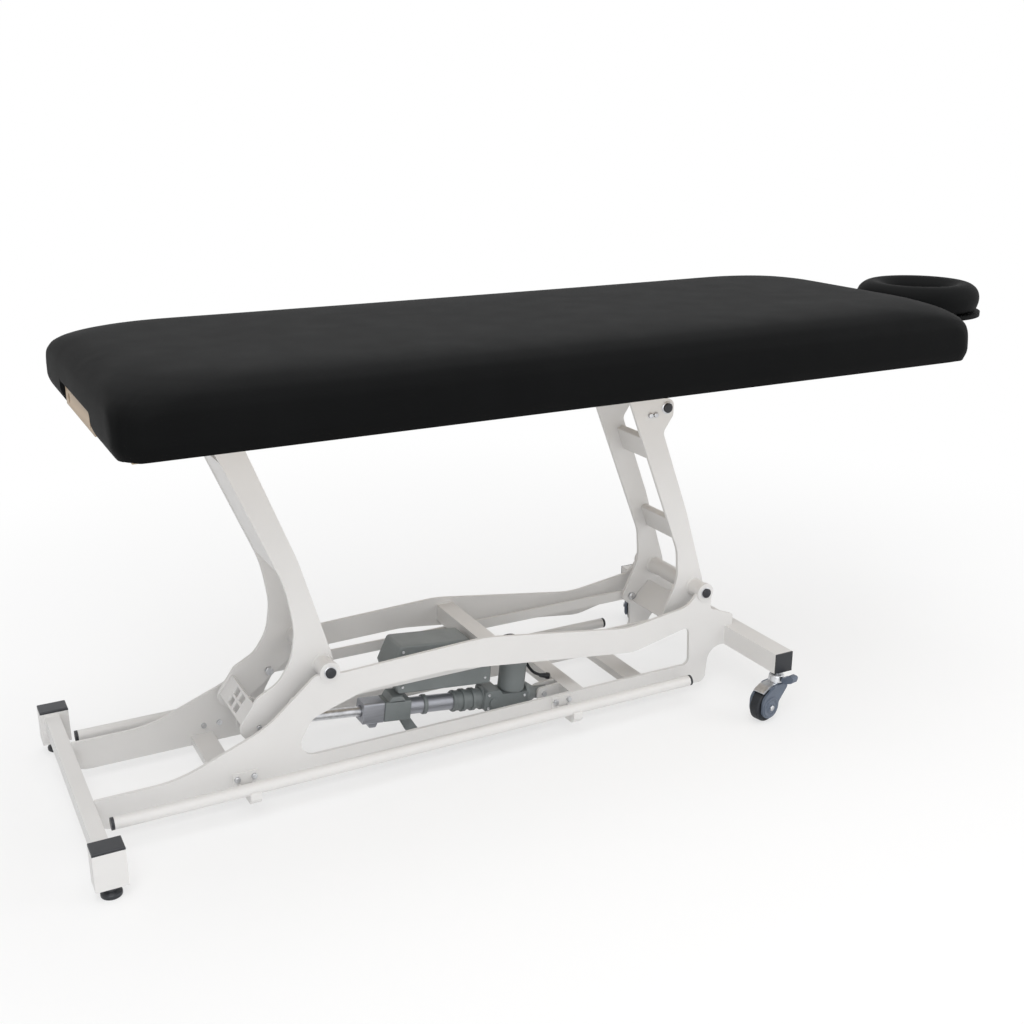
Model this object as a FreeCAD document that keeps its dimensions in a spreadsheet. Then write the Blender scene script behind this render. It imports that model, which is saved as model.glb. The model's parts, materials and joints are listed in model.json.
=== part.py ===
import FreeCAD, Part
import math
import os
import re
from FreeCAD import Placement, Rotation, Vector

# Electric lift massage table with a face cradle, in millimetres.
# The origin is on the floor under the middle of the table. X runs from the foot end to the
# head end, Y across the table (the near side is negative) and Z up. The table is at full height.

DIMENSIONS = {
    # Side frames: two flat plates cut to shape, and the tubes between and across them
    "plate_in": 126, "plate_thick": 8, "boss_radius": 22, "boss_rise": 4,
    "foot_pivot_x": -660, "head_pivot_x": 284, "pivot_z": 264.5, "shaft_radius": 10,
    "cap_radius": 11, "cap_thick": 5, "wall": 2.5,
    "post_x": -1185, "post_long": 60, "post_in": 286, "post_wide": 44, "post_low": 25, "post_high": 99,
    "post_cap": 6, "foot_bar_low": 53, "foot_cross_x": -1175, "foot_cross_long": 30, "foot_cross_tall": 40,
    "head_cross_x": 349, "head_cross_side": 48, "head_cross_z": 117.5, "head_cross_half": 328, "plug_thick": 3,
    "upper_cross_x": -300, "upper_cross_side": 40, "upper_cross_z": 210,
    "low_cross_z": 35, "low_cross_tall": 18, "low_foot_x": -897, "low_head_x": 105, "low_cross_long": 48,
    # Foot treadle bars along both sides
    "bar_radius": 12.5, "bar_bore": 10.5, "bar_y": 195, "bar_z": 77, "bar_x": -1122, "bar_long": 1324,
    "bar_plug": 6, "bracket_foot_x": -850, "bracket_head_x": -108, "bracket_half": 26, "bracket_thick": 4,
    "bracket_low": 36, "bracket_tall": 48, "ear_gap": 12, "ear_thick": 5, "hinge_y": 147, "hinge_z": 54,
    "hinge_radius": 4, "hinge_fit": 0.08, "knuckle_radius": 8, "arm_half": 11, "bolt_radius": 6, "bolt_rise": 4,
    # Legs: parallel pairs of plates, and the tie bars that make the two pairs swing together
    "leg_in": 81, "leg_thick": 8, "hub_radius": 20, "hub_half": 125.4, "shaft_fit": 0.1,
    "rise_x": -170, "rise_z": 490, "tie_x": -66, "tie_z": -72, "tie_in": 92, "tie_thick": 6,
    "tie_half": 12, "tie_bolt": 5, "tie_head": 8, "open_fit": 0.3, "ear_x": -98, "ear_z": 453,
    "crank_x": -150, "crank_z": -117, "crank_head": 10, "yoke_gap": 15.5, "yoke_thick": 6,
    "window_long": 20, "window_wide": 26, "window_deep": 30, "window_y": 36, "window_step": 18,
    # Actuator, laid out along its own axis from the rear pin
    "act_y": -55, "rear_x": -118, "rear_z": 62, "act_tilt": 7.046, "act_long": 697.25,
    "rod_radius": 11, "rod_fit": 0.08, "tube_radius": 19, "tube_bore": 13, "guide_front": 429,
    "guide_long": 48, "clamp_long": 72, "collar_end": 157, "collar_start": 230,
    "gear_half_y": 27, "motor_u": 85, "motor_low": 16, "motor_high": 108, "eye_radius": 14, "eye_half": 9,
    "guide_half": 22, "clamp_half": 24, "rib_step": 24, "rib_long": 8, "lug_rear": -14, "lug_long": 36,
    "lug_half": 8, "lug_tall": 12, "boss_u": 138, "rear_pin": 6, "mount_gap": 40, "mount_side": 38,
    "mount_drop": 20, "mount_ear": 9,
    # Control box and the lead from it to the actuator
    "box_x": -512, "box_long": 206, "box_low": 150, "box_step": 205, "box_high": 262, "box_foot_long": 262,
    "box_y": -75, "box_deep": 80, "lead_radius": 3.5,
    # Casters under the head end and glides under the foot end
    "stem_x": 373, "stem_y": 308, "stem_radius": 6, "stem_low": 90, "stem_long": 62, "stem_nut_low": 107,
    "stem_nut": 10, "wheel_radius": 37.5, "trail": 40, "axle_radius": 5, "axle_half": 22, "crown_half": 14.5,
    "cover_in": 14.5, "cover_thick": 6, "pedal_half": 9, "near_swivel": 11.5, "far_swivel": 233.1,
    "stud_radius": 6,
    # Padded top, its deck and the frame under it
    "top_x": -1074, "top_long": 1900, "top_half": 380, "top_low": 816, "deck_thick": 18,
    "wrap": 20, "rail_half": 148, "rail_tall": 36, "rail_deep": 114, "socket_y": 112, "socket_radius": 9.6,
    "socket_deep": 100, "beam_in": 37, "beam_side": 40, "beam_x": -980, "beam_long": 1700, "pin_plate": 8,
    "mid_tie_x": -200,
    # Face cradle
    "cradle_x": 1022.5, "cradle_radius": 164, "face_radius": 66, "cradle_low": 870, "cradle_high": 945,
    "cradle_rod": 9.5, "cradle_rod_in": 86, "cradle_rod_long": 134, "cradle_hinge_x": 888,
    "cradle_hinge_z": 850, "cradle_pin": 5, "cradle_pin_in": 46, "cradle_pin_long": 24, "lug_in": 60,
    "lug_thick": 8, "strap_in": 47, "strap_thick": 12, "carriage_half": 16, "carriage_rise": 6,
    "carriage_tall": 16, "disc_thick": 10, "disc_inset": 12, "disc_rim": 4,
}

doc = FreeCAD.newDocument("massage_table")
sheet = doc.addObject("Spreadsheet::Sheet", "Dims")
for row, (alias, value) in enumerate(DIMENSIONS.items(), start=1):
    sheet.set(f"A{row}", alias)
    sheet.set(f"B{row}", str(value))
    sheet.setAlias(f"B{row}", alias)
doc.recompute()

TURN_TO = {"x": Rotation(Vector(0, 1, 0), 90), "y": Rotation(Vector(1, 0, 0), -90), "z": Rotation()}
SIDES = {"near": -1, "far": 1}
SAME_SPOT = 1e-6
nodes = []


def dim(alias):
    """The number that the sheet holds for one dimension."""
    return float(sheet.get(alias))


def bind(item, field, formula):
    """Ties one size or place of an object to a formula in the sheet's dimensions."""
    item.setExpression(field, re.sub(r"[a-z]\w*", lambda word: "Dims." + word.group(0), str(formula)))


def place(item, base):
    for axis, formula in zip("xyz", base):
        bind(item, "Placement.Base." + axis, formula)


def node(item, label):
    """Names a finished sub-part, which is then written to a file of that name."""
    item.Label = label
    nodes.append(item)
    return item


def box(name, low, size):
    item = doc.addObject("Part::Box", name)
    for field, formula in zip(("Length", "Width", "Height"), size):
        bind(item, field, formula)
    place(item, low)
    return item


def rod(name, axis, base, radius, length):
    item = doc.addObject("Part::Cylinder", name)
    item.Placement = Placement(Vector(), TURN_TO[axis])
    bind(item, "Radius", radius)
    bind(item, "Height", length)
    place(item, base)
    return item


def fuse(name, *items):
    item = doc.addObject("Part::MultiFuse", name)
    item.Shapes = list(items)
    return item


def cut(name, base, *tools):
    item = doc.addObject("Part::Cut", name)
    item.Base = base
    item.Tool = tools[0] if len(tools) == 1 else fuse(name + "_tools", *tools)
    return item


def group(name, *items):
    item = doc.addObject("Part::Compound", name)
    item.Links = list(items)
    return item


def tube_along(name, axis, low, size):
    """A rectangular tube: a box with a hole right through it along one axis."""
    inner_low = [f"({start}) + wall" for start in low]
    inner_size = [f"({length}) - 2 * wall" for length in size]
    through = "xyz".index(axis)
    inner_low[through] = low[through]
    inner_size[through] = size[through]
    return cut(name, box(name + "_outside", low, size), box(name + "_inside", inner_low, inner_size))


def rounded(corners):
    """Lines and tangent arcs round a closed outline of (across, up, corner radius)."""
    spots = [Vector(across, up, 0) for across, up, radius in corners]
    pieces = []
    for index, here in enumerate(spots):
        back = (spots[index - 1] - here).normalize()
        ahead = (spots[(index + 1) % len(spots)] - here).normalize()
        half = back.getAngle(ahead) / 2
        radius = corners[index][2]
        reach = radius / math.tan(half)
        middle = here + (back + ahead).normalize() * (radius / math.sin(half) - radius)
        pieces.append((here + back * reach, middle, here + ahead * reach, radius))
    edges = []
    for index, (start, middle, end, radius) in enumerate(pieces):
        if radius:
            edges.append(Part.Arc(start, middle, end))
        following = pieces[(index + 1) % len(pieces)][0]
        if not end.isEqual(following, SAME_SPOT):
            edges.append(Part.LineSegment(end, following))
    return edges


def ring(across, up, radius):
    return [Part.Circle(Vector(across, up, 0), Vector(0, 0, 1), radius)]


def sketch_on(body, role, name, edges, offset="0"):
    """A sketch on one of the body's own planes, moved along that plane's normal."""
    sketch = body.newObject("Sketcher::SketchObject", name)
    plane = next(item for item in body.Origin.OriginFeatures if item.Role == role)
    sketch.AttachmentSupport = [(plane, "")]
    sketch.MapMode = "FlatFace"
    bind(sketch, "AttachmentOffset.Base.z", offset)
    sketch.addGeometry(edges, False)
    return sketch


def pad(body, role, name, edges, offset, length):
    feature = body.newObject("PartDesign::Pad", name)
    feature.Profile = sketch_on(body, role, name + "_sketch", edges, offset)
    bind(feature, "Length", length)
    return body


def slab(name, edges, y_low, thick, body=None):
    """A flat piece in the XZ plane from y_low over its thickness, as a body or added to one."""
    body = body or doc.addObject("PartDesign::Body", name)
    return pad(body, "XZ_Plane", name + "_slab", edges, f"-({y_low}) - ({thick})", thick)


def bar_profile(name, edges, x_low, length):
    """A profile in the YZ plane carried along X."""
    body = doc.addObject("PartDesign::Body", name)
    return pad(body, "YZ_Plane", name + "_pad", edges, x_low, length)


def turned(name, corners, role="XZ_Plane", axis="V_Axis"):
    """A solid of revolution about the sketch's own axis, from an outline of (radius, along, round)."""
    body = doc.addObject("PartDesign::Body", name)
    sketch = sketch_on(body, role, name + "_profile", rounded(corners))
    feature = body.newObject("PartDesign::Revolution", name + "_turn")
    feature.Profile = sketch
    feature.ReferenceAxis = (sketch, [axis])
    feature.Angle = 360
    return body


def y_range(side, inner, thick):
    """The low Y of a layer that starts at |y| = inner on one side of the table."""
    return inner if side > 0 else f"-({inner}) - ({thick})"


FOOT = Vector(dim("foot_pivot_x"), dim("pivot_z"), 0)
HEAD = Vector(dim("head_pivot_x"), dim("pivot_z"), 0)
PIVOTS = {"foot": FOOT, "head": HEAD}


def about(pivot, corners):
    """An outline given from a leg's pivot, in the table's own place."""
    return [(pivot.x + across, pivot.y + up, radius) for across, up, radius in corners]


# Side frames
def side_frames():
    cross_x = dim("head_cross_x")
    cross_low = dim("head_cross_z")
    cross_top = cross_low + dim("head_cross_side")
    foot_face = dim("foot_cross_x") + dim("foot_cross_long")
    outline = [
        (foot_face, 97, 0), (-985, 97, 260), (-800, 168, 200), (-690, 262, 20), (-630, 256, 20),
        (-300, 267, 300), (70, 213, 240), (240, 236, 60), (262, 264, 8), (306, 264, 8), (303, 218, 14),
        (372, 192, 8), (372, cross_top, 0), (cross_x, cross_top, 0), (cross_x, cross_low, 0),
        (304, cross_low, 38), (296, 30, 18), (-1120, 30, 20), (foot_face, 38, 6),
    ]
    opening = [
        (-752, 85, 30), (247, 85, 16), (243, 184, 14), (85, 150, 120), (-390, 209, 300), (-585, 205, 150),
        (-702, 168, 40),
    ]
    for name, side in SIDES.items():
        label = "side_frame_" + name
        edges = rounded(outline) + rounded(opening)
        body = slab(label + "_plate", edges, y_range(side, "plate_in", "plate_thick"), "plate_thick")
        thick = "plate_thick + boss_rise"
        low = y_range(side, "plate_in", thick)
        holes = []
        for end, pivot in PIVOTS.items():
            slab(f"{label}_{end}", ring(pivot.x, pivot.y, dim("boss_radius")), low, thick, body)
            holes.append(rod(f"{label}_{end}_hole", "y", (f"{end}_pivot_x", low, "pivot_z"), "shaft_radius", thick))
        node(cut(label, body, *holes), label)


def frame_tubes():
    node(tube_along("foot_crossbar", "y", ("foot_cross_x", "-post_in", "foot_bar_low"),
                    ("foot_cross_long", "2 * post_in", "foot_cross_tall")), "foot_crossbar")
    stem_holes = []
    for name, side in SIDES.items():
        label = "foot_post_" + name
        low = y_range(side, "post_in", "post_wide")
        outside = box(label + "_outside", ("post_x", low, "post_low"),
                      ("post_long", "post_wide", "post_high - post_low"))
        inside = box(label + "_inside", ("post_x + wall", f"{low} + wall", "post_low + 4 * wall"),
                     ("post_long - 2 * wall", "post_wide - 2 * wall", "post_high - post_low"))
        hole = rod(label + "_hole", "z", ("post_x + post_long / 2", f"{low} + post_wide / 2", "post_low"),
                   "stud_radius + hinge_fit", "4 * wall")
        node(cut(label, outside, inside, hole), label)
        stem_holes.append(rod("stem_hole_" + name, "z", ("stem_x", f"{side} * stem_y", "head_cross_z"),
                              "stem_radius", "wall"))
    half = "head_cross_half"
    crossbar = tube_along("head_tube", "y", ("head_cross_x", f"-{half}", "head_cross_z"),
                          ("head_cross_side", f"2 * {half}", "head_cross_side"))
    node(cut("head_crossbar", crossbar, *stem_holes), "head_crossbar")
    node(tube_along("upper_cross_tube", "y", ("upper_cross_x", "-plate_in", "upper_cross_z"),
                    ("upper_cross_side", "2 * plate_in", "upper_cross_side")), "upper_cross_tube")
    bars = [tube_along("low_cross_" + end, "y", (f"low_{end}_x", "-plate_in", "low_cross_z"),
                       ("low_cross_long", "2 * plate_in", "low_cross_tall")) for end in PIVOTS]
    node(group("low_cross_bars", *bars), "low_cross_bars")


def frame_caps():
    """Black plastic caps: on the foot posts, in the ends of the head tube and over the four pivots."""
    caps = []
    for name, side in SIDES.items():
        low = y_range(side, "post_in", "post_wide")
        lid = box("post_lid_" + name, ("post_x", low, "post_high"), ("post_long", "post_wide", "post_cap"))
        rim = doc.addObject("Part::Fillet", "post_cap_" + name)
        rim.Base = lid
        doc.recompute()
        top_edges = [number for number, edge in enumerate(lid.Shape.Edges, start=1)
                     if edge.BoundBox.ZMin > dim("post_high") + dim("post_cap") / 2]
        rim.Edges = [(number, dim("post_cap") / 2, dim("post_cap") / 2) for number in top_edges]
        plug = box("head_plug_" + name,
                   ("head_cross_x", y_range(side, "head_cross_half", "plug_thick"), "head_cross_z"),
                   ("head_cross_side", "plug_thick", "head_cross_side"))
        caps += [rim, plug]
        for end in PIVOTS:
            face = "plate_in + plate_thick + boss_rise"
            caps.append(rod(f"pivot_cap_{end}_{name}", "y",
                            (f"{end}_pivot_x", y_range(side, face, "cap_thick"), "pivot_z"),
                            "cap_radius", "cap_thick"))
    node(group("frame_caps", *caps), "frame_caps")


def pivot_shafts():
    reach = "plate_in + plate_thick + boss_rise"
    shafts = [rod("shaft_" + end, "y", (f"{end}_pivot_x", f"-({reach})", "pivot_z"), "shaft_radius",
                  f"2 * ({reach})") for end in PIVOTS]
    node(group("pivot_shafts", *shafts), "pivot_shafts")


# Foot treadle bars
def treadle_bars():
    brackets = []
    fasteners = []
    face = "plate_in + plate_thick"
    for name, side in SIDES.items():
        start = ("bar_x", f"{side} * bar_y", "bar_z")
        tube = cut(f"foot_bar_{name}_tube", rod(f"bar_{name}_outside", "x", start, "bar_radius", "bar_long"),
                   rod(f"bar_{name}_inside", "x", start, "bar_bore", "bar_long"))
        welded = [tube]
        for end in PIVOTS:
            middle = f"bracket_{end}_x"
            brackets.append(treadle_bracket(f"{end}_{name}", side, middle, face))
            welded.append(treadle_arm(f"{end}_{name}", side, middle))
            fasteners.append(rod(f"treadle_pin_{end}_{name}", "x",
                                 (f"{middle} - ear_gap - ear_thick", f"{side} * hinge_y", "hinge_z"),
                                 "hinge_radius", "2 * (ear_gap + ear_thick)"))
            for shift in (-1, 1):
                for word, inner in (("bolt", f"{face} + bracket_thick"), ("nut", "plate_in - bolt_rise")):
                    spot = (f"{middle} + {shift} * 2 * bracket_half / 3", y_range(side, inner, "bolt_rise"),
                            "bracket_low + bracket_tall - 2 * bolt_radius")
                    fasteners.append(rod(f"bracket_{word}_{end}_{name}_{shift + 1}", "y", spot,
                                         "bolt_radius", "bolt_rise"))
        node(fuse("foot_bar_" + name, *welded), "foot_bar_" + name)
        plugs = [rod(f"bar_plug_{name}_{end}", "x", (start, f"{side} * bar_y", "bar_z"), "bar_radius", "bar_plug")
                 for end, start in (("foot", "bar_x - bar_plug"), ("head", "bar_x + bar_long"))]
        node(group(f"foot_bar_{name}_plugs", *plugs), f"foot_bar_{name}_plugs")
    node(group("foot_bar_brackets", *brackets), "foot_bar_brackets")
    return fasteners


def treadle_bracket(name, side, middle, face):
    """A plate on the side frame with two ears, which hold the treadle's hinge pin."""
    plate = box("bracket_plate_" + name,
                (f"{middle} - bracket_half", y_range(side, face, "bracket_thick"), "bracket_low"),
                ("2 * bracket_half", "bracket_thick", "bracket_tall"))
    start = f"{face} + bracket_thick"
    deep = f"hinge_y + knuckle_radius - ({start})"
    ears = [box(f"bracket_ear_{name}_{number}",
                (place_x, y_range(side, start, deep), "hinge_z - knuckle_radius"),
                ("ear_thick", deep, "2 * knuckle_radius"))
            for number, place_x in enumerate((f"{middle} - ear_gap - ear_thick", f"{middle} + ear_gap"))]
    hole = rod("bracket_hole_" + name, "x", (f"{middle} - bracket_half", f"{side} * hinge_y", "hinge_z"),
               "hinge_radius", "2 * bracket_half")
    return cut("bracket_" + name, fuse("bracket_solid_" + name, plate, *ears), hole)


def treadle_arm(name, side, middle):
    """A flat arm from the hinge pin out to a saddle that holds the bar from below."""
    pin = dim("hinge_y")
    low = dim("hinge_z") - dim("knuckle_radius")
    high = dim("hinge_z") + dim("knuckle_radius")
    outline = [
        (pin, low, 0), (200, low, 8), (211, 58, 6), (211, 74, 2), (179, 74, 2), (172, high, 6), (pin, high, 0),
    ]
    profile = rounded([(side * across, up, radius) for across, up, radius in outline])
    arm = bar_profile("arm_" + name, profile, f"{middle} - arm_half", "2 * arm_half")
    start = f"{middle} - arm_half"
    hinge = (start, f"{side} * hinge_y", "hinge_z")
    knuckle = rod("knuckle_" + name, "x", hinge, "knuckle_radius", "2 * arm_half")
    bore = rod("knuckle_bore_" + name, "x", hinge, "hinge_radius + hinge_fit", "2 * arm_half")
    seat = rod("saddle_" + name, "x", (start, f"{side} * bar_y", "bar_z"), "bar_radius", "2 * arm_half")
    return cut("treadle_arm_" + name, fuse("arm_solid_" + name, arm, knuckle), bore, seat)


# Legs
FOOT_LEG = [
    (-210, 507, 29), (-152, 529, 29), (-33, 232, 300), (30, -2, 40), (8, -34, 26), (-155, -155, 26),
    (-188, -112, 26), (-118, -22, 30), (-66, 62, 70), (-66, 135, 60), (-104, 205, 40),
]
HEAD_LEG = [
    (-210, 507, 29), (-152, 529, 29), (-134, 478, 6), (-80, 472, 17), (-80, 434, 17), (-106, 396, 18),
    (-33, 200, 300), (30, -2, 40), (2, -38, 24), (-65, -101, 19), (-94, -73, 19), (-47, 25, 90), (-52, 100, 90),
]
# Shares of the way up the crank's floor plate where its two rows of windows lie
WINDOW_ROWS = (0.28, 0.72)
# Channels across the head leg, and the plate that closes it below its pivot, seen from the side
HEAD_RUNGS = [
    [(-134, 355, 3), (-112, 363, 3), (-134, 420, 3), (-156, 412, 3)],
    [(-66, 172, 3), (-44, 180, 3), (-64, 235, 3), (-86, 227, 3)],
    [(-42, 58, 3), (-22, 62, 3), (-27, 84, 3), (-47, 80, 3)],
    [(-80, -58, 0), (-50, 22, 0), (-44, 20, 0), (-74, -60, 0)],
]


def leg_plates():
    for end, outline in (("foot", FOOT_LEG), ("head", HEAD_LEG)):
        pivot = PIVOTS[end]
        upper_fit = dim("hinge_fit") if end == "foot" else dim("open_fit")
        for name, side in SIDES.items():
            label = f"{end}_leg_{name}"
            edges = rounded(about(pivot, outline))
            edges += ring(pivot.x, pivot.y, dim("hub_radius"))
            edges += ring(pivot.x + dim("rise_x"), pivot.y + dim("rise_z"), dim("shaft_radius") + upper_fit)
            edges += ring(pivot.x + dim("tie_x"), pivot.y + dim("tie_z"), dim("tie_bolt"))
            node(slab(label, edges, y_range(side, "leg_in", "leg_thick"), "leg_thick"), label)
        start = (f"{end}_pivot_x", "-hub_half", "pivot_z")
        hub = cut(f"{end}_leg_hub", rod(end + "_hub_outside", "y", start, "hub_radius", "2 * hub_half"),
                  rod(end + "_hub_bore", "y", start, "shaft_radius + shaft_fit", "2 * hub_half"))
        node(hub, f"{end}_leg_hub")
        bolts = tie_bolts(end)
        if end == "foot":
            bolts += crank_bolt_heads()
        node(group(f"{end}_leg_bolts", *bolts), f"{end}_leg_bolts")


def tie_bolts(end):
    """Shoulder bolts that carry the tie bars: a head inside the leg plate, a washer and a nut."""
    bolts = []
    for name, side in SIDES.items():
        spot = (f"{end}_pivot_x + tie_x", "pivot_z + tie_z")
        layers = (
            ("shank", "leg_in", "tie_in + tie_thick + bolt_rise - leg_in", "tie_bolt"),
            ("head", "leg_in - bolt_rise", "bolt_rise", "tie_head"),
            ("washer", "leg_in + leg_thick", "tie_in - leg_in - leg_thick - open_fit", "tie_head"),
            ("nut", "tie_in + tie_thick + open_fit", "bolt_rise", "tie_head"),
        )
        parts = [rod(f"{end}_{name}_{word}", "y", (spot[0], y_range(side, inner, thick), spot[1]), radius, thick)
                 for word, inner, thick, radius in layers]
        bolts.append(fuse(f"{end}_tie_bolt_{name}", *parts))
    return bolts


def crank_bolt_heads():
    """Heads of the bolt that the actuator's rod eye turns on, outside the two cheeks of the crank."""
    return [rod(f"crank_head_{number}", "y",
                ("foot_pivot_x + crank_x", f"act_y + ({y_range(side, 'yoke_gap + yoke_thick', 'bolt_rise')})",
                 "pivot_z + crank_z"), "crank_head", "bolt_rise") for number, side in enumerate((-1, 1))]


def foot_leg_webs():
    """The closed back of the foot leg's upper half, and the crank below it that the actuator pushes."""
    back = [(-106, 207, 0), (-204, 463, 0), (-198, 465, 0), (-100, 209, 0)]
    node(slab("foot_leg_web", rounded(about(FOOT, back)), "-leg_in", "2 * leg_in"), "foot_leg_web")
    floor = [(-158, -74, 0), (-112, -15, 0), (-107, -19, 0), (-153, -78, 0)]
    web = slab("crank_web", rounded(about(FOOT, floor)), "-leg_in", "2 * leg_in")
    cheek = [(-156, -76, 0), (-126, -38, 6), (-100, -66, 20), (-124, -141, 20), (-174, -141, 20)]
    crank = [web]
    for number, side in enumerate((-1, 1)):
        low = y_range(side, "yoke_gap", "yoke_thick")
        crank.append(slab(f"crank_cheek_{number}", rounded(about(FOOT, cheek)), f"act_y + ({low})", "yoke_thick"))
    windows = []
    low, high = (Vector(across, up, 0) for across, up, radius in floor[:2])
    turn = Rotation(Vector(0, -1, 0), math.degrees(math.atan2(high.y - low.y, high.x - low.x)))
    middle = turn.multVec(Vector(dim("window_long"), 0, dim("window_deep"))) / 2
    for row, share in enumerate(WINDOW_ROWS):
        spot = FOOT + low + (high - low) * share
        for column in (-1, 1):
            opening = box(f"crank_window_{row}_{column + 1}", ("0", "0", "0"),
                          ("window_long", "window_wide", "window_deep"))
            side = dim("window_y") + column * dim("window_step") - dim("window_wide") / 2
            opening.Placement = Placement(Vector(spot.x, side, spot.y) - middle, turn)
            windows.append(opening)
    node(cut("crank_yoke", fuse("crank_solid", *crank), *windows), "crank_yoke")


def head_leg_details():
    rungs = []
    for number, corners in enumerate(HEAD_RUNGS):
        rungs.append(slab(f"rung_{number}", rounded(about(HEAD, corners)), "-leg_in", "2 * leg_in"))
    node(group("head_leg_rungs", *rungs), "head_leg_rungs")
    caps = [rod("stop_cap_" + name, "y",
                ("head_pivot_x + ear_x", y_range(side, "leg_in + leg_thick", "cap_thick"), "pivot_z + ear_z"),
                "cap_radius", "cap_thick") for name, side in SIDES.items()]
    node(group("head_leg_caps", *caps), "head_leg_caps")


def tie_bars():
    spots = [pivot + Vector(dim("tie_x"), dim("tie_z"), 0) for pivot in PIVOTS.values()]
    half = dim("tie_half")
    left, right = spots[0].x - half, spots[1].x + half
    low, high = spots[0].y - half, spots[0].y + half
    corner = half - dim("open_fit")
    outline = [(left, low, corner), (right, low, corner), (right, high, corner), (left, high, corner)]
    for name, side in SIDES.items():
        edges = rounded(outline) + ring(spots[0].x, spots[0].y, dim("tie_bolt") + dim("hinge_fit"))
        edges += ring(spots[1].x, spots[1].y, dim("tie_bolt") + dim("open_fit"))
        label = "tie_bar_" + name
        node(slab(label, edges, y_range(side, "tie_in", "tie_thick"), "tie_thick"), label)


# Actuator: laid out along minus X from its rear pin, then tilted up into place
ACTUATOR = Placement(Vector(dim("rear_x"), dim("act_y"), dim("rear_z")),
                     Rotation(Vector(0, 1, 0), dim("act_tilt")))
GUIDE = [
    (-429, -24, 4), (-413, -24, 4), (-411, -34, 5), (-394, -34, 5), (-390, -24, 4), (-381, -24, 3), (-381, 24, 3),
    (-429, 24, 6),
]
CLAMP = [
    (-381, -24, 0), (-309, -22, 4), (-309, 20, 4), (-330, 24, 4), (-340, 36, 5), (-364, 36, 5), (-372, 24, 4),
    (-381, 24, 0),
]
PADDLE = [(-356, -20, 0), (-330, -20, 0), (-312, -52, 3), (-330, -58, 6), (-350, -44, 8)]
GEARBOX = [(-162, -26, 12), (-49, -26, 10), (-49, 16, 3), (-118, 16, 3), (-124, 26, 4), (-162, 26, 10)]
MOTOR = [
    (0, dim("motor_low"), 0), (31, dim("motor_low"), 8), (31, 92, 2), (29, 92, 1), (29, dim("motor_high"), 7),
    (0, dim("motor_high"), 0),
]


def along(name, start, length, radius):
    """A round piece on the actuator's axis, from a distance ahead of the rear pin."""
    return rod(name, "x", (f"-({start}) - ({length})", "0", "0"), radius, length)


def block(name, start, length, half_y, low, high):
    return box(name, (f"-({start}) - ({length})", f"-({half_y})", low),
               (length, f"2 * ({half_y})", f"({high}) - ({low})"))


def actuator_node(item, label):
    item.Placement = ACTUATOR
    return node(item, label)


def actuator():
    guide_rear = "guide_front - guide_long"
    tube = cut("actuator_tube", along("tube_outside", "collar_end", f"{guide_rear} - collar_end", "tube_radius"),
               along("tube_inside", "collar_end", f"{guide_rear} - collar_end", "tube_bore"))
    actuator_node(tube, "actuator_tube")
    guide = slab("guide_form", rounded(GUIDE), "-guide_half", "2 * guide_half")
    clamp = slab("clamp_form", rounded(CLAMP), "-clamp_half", "2 * clamp_half")
    paddle = slab("paddle_form", rounded(PADDLE), "-clamp_half", "2 * wall")
    front = cut("actuator_guide", fuse("guide_solid", guide, clamp, paddle),
                along("guide_bore", guide_rear, "guide_long", "rod_radius + rod_fit"),
                along("clamp_bore", f"{guide_rear} - clamp_long", "clamp_long", "tube_radius"))
    actuator_node(front, "actuator_guide")
    collar = along("gear_collar", "collar_end", "collar_start - collar_end", "tube_radius + 4")
    ribs = [along(f"gear_rib_{number}", f"collar_end + {number} * rib_step", "rib_long", "tube_radius + 7")
            for number in range(3)]
    shell = slab("gear_form", rounded(GEARBOX), "-gear_half_y", "2 * gear_half_y")
    boss = rod("gear_boss", "y", ("-boss_u", "-gear_half_y - bolt_rise", "-2"), "cap_radius", "bolt_rise")
    rear = turned_rear_cap()
    lug = block("rear_lug", "lug_rear", "lug_long", "lug_half", "-lug_tall", "lug_tall")
    housing = cut("actuator_housing", fuse("housing_solid", collar, *ribs, shell, boss, rear, lug),
                  along("collar_bore", "collar_end", "collar_start", "tube_radius"),
                  rod("rear_pin_bore", "y", ("0", "-gear_half_y", "0"), "rear_pin + hinge_fit", "2 * gear_half_y"))
    actuator_node(housing, "actuator_housing")
    motor = turned("motor_form", MOTOR)
    motor.Placement = ACTUATOR.multiply(Placement(Vector(-dim("motor_u"), -2, 0), Rotation()))
    node(motor, "actuator_motor")
    rod_back = "guide_front - guide_long / 3"
    shaft = along("rod_shaft", rod_back, f"act_long - eye_radius - ({rod_back})", "rod_radius")
    actuator_node(group("rod_alone", shaft), "actuator_rod")
    eye = fuse("eye_solid", rod("eye_ring", "y", ("-act_long", "-eye_half", "0"), "eye_radius", "2 * eye_half"),
               along("eye_neck", "act_long - 3 * eye_radius", "2 * eye_radius + wall", "eye_radius"))
    socket = along("eye_socket", "act_long - 4 * eye_radius", "3 * eye_radius", "rod_radius")
    actuator_node(cut("actuator_rod_eye", eye, socket), "actuator_rod_eye")


def turned_rear_cap():
    """The bell-shaped rear cover of the gear housing, which narrows to the mounting lug."""
    cap = turned("rear_cap_form", [(0, 20, 0), (13, 20, 5), (28, 44, 8), (28, 52, 0), (0, 52, 0)])
    cap.Placement = Placement(Vector(), Rotation(Vector(0, 1, 0), -90))
    return cap


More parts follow.
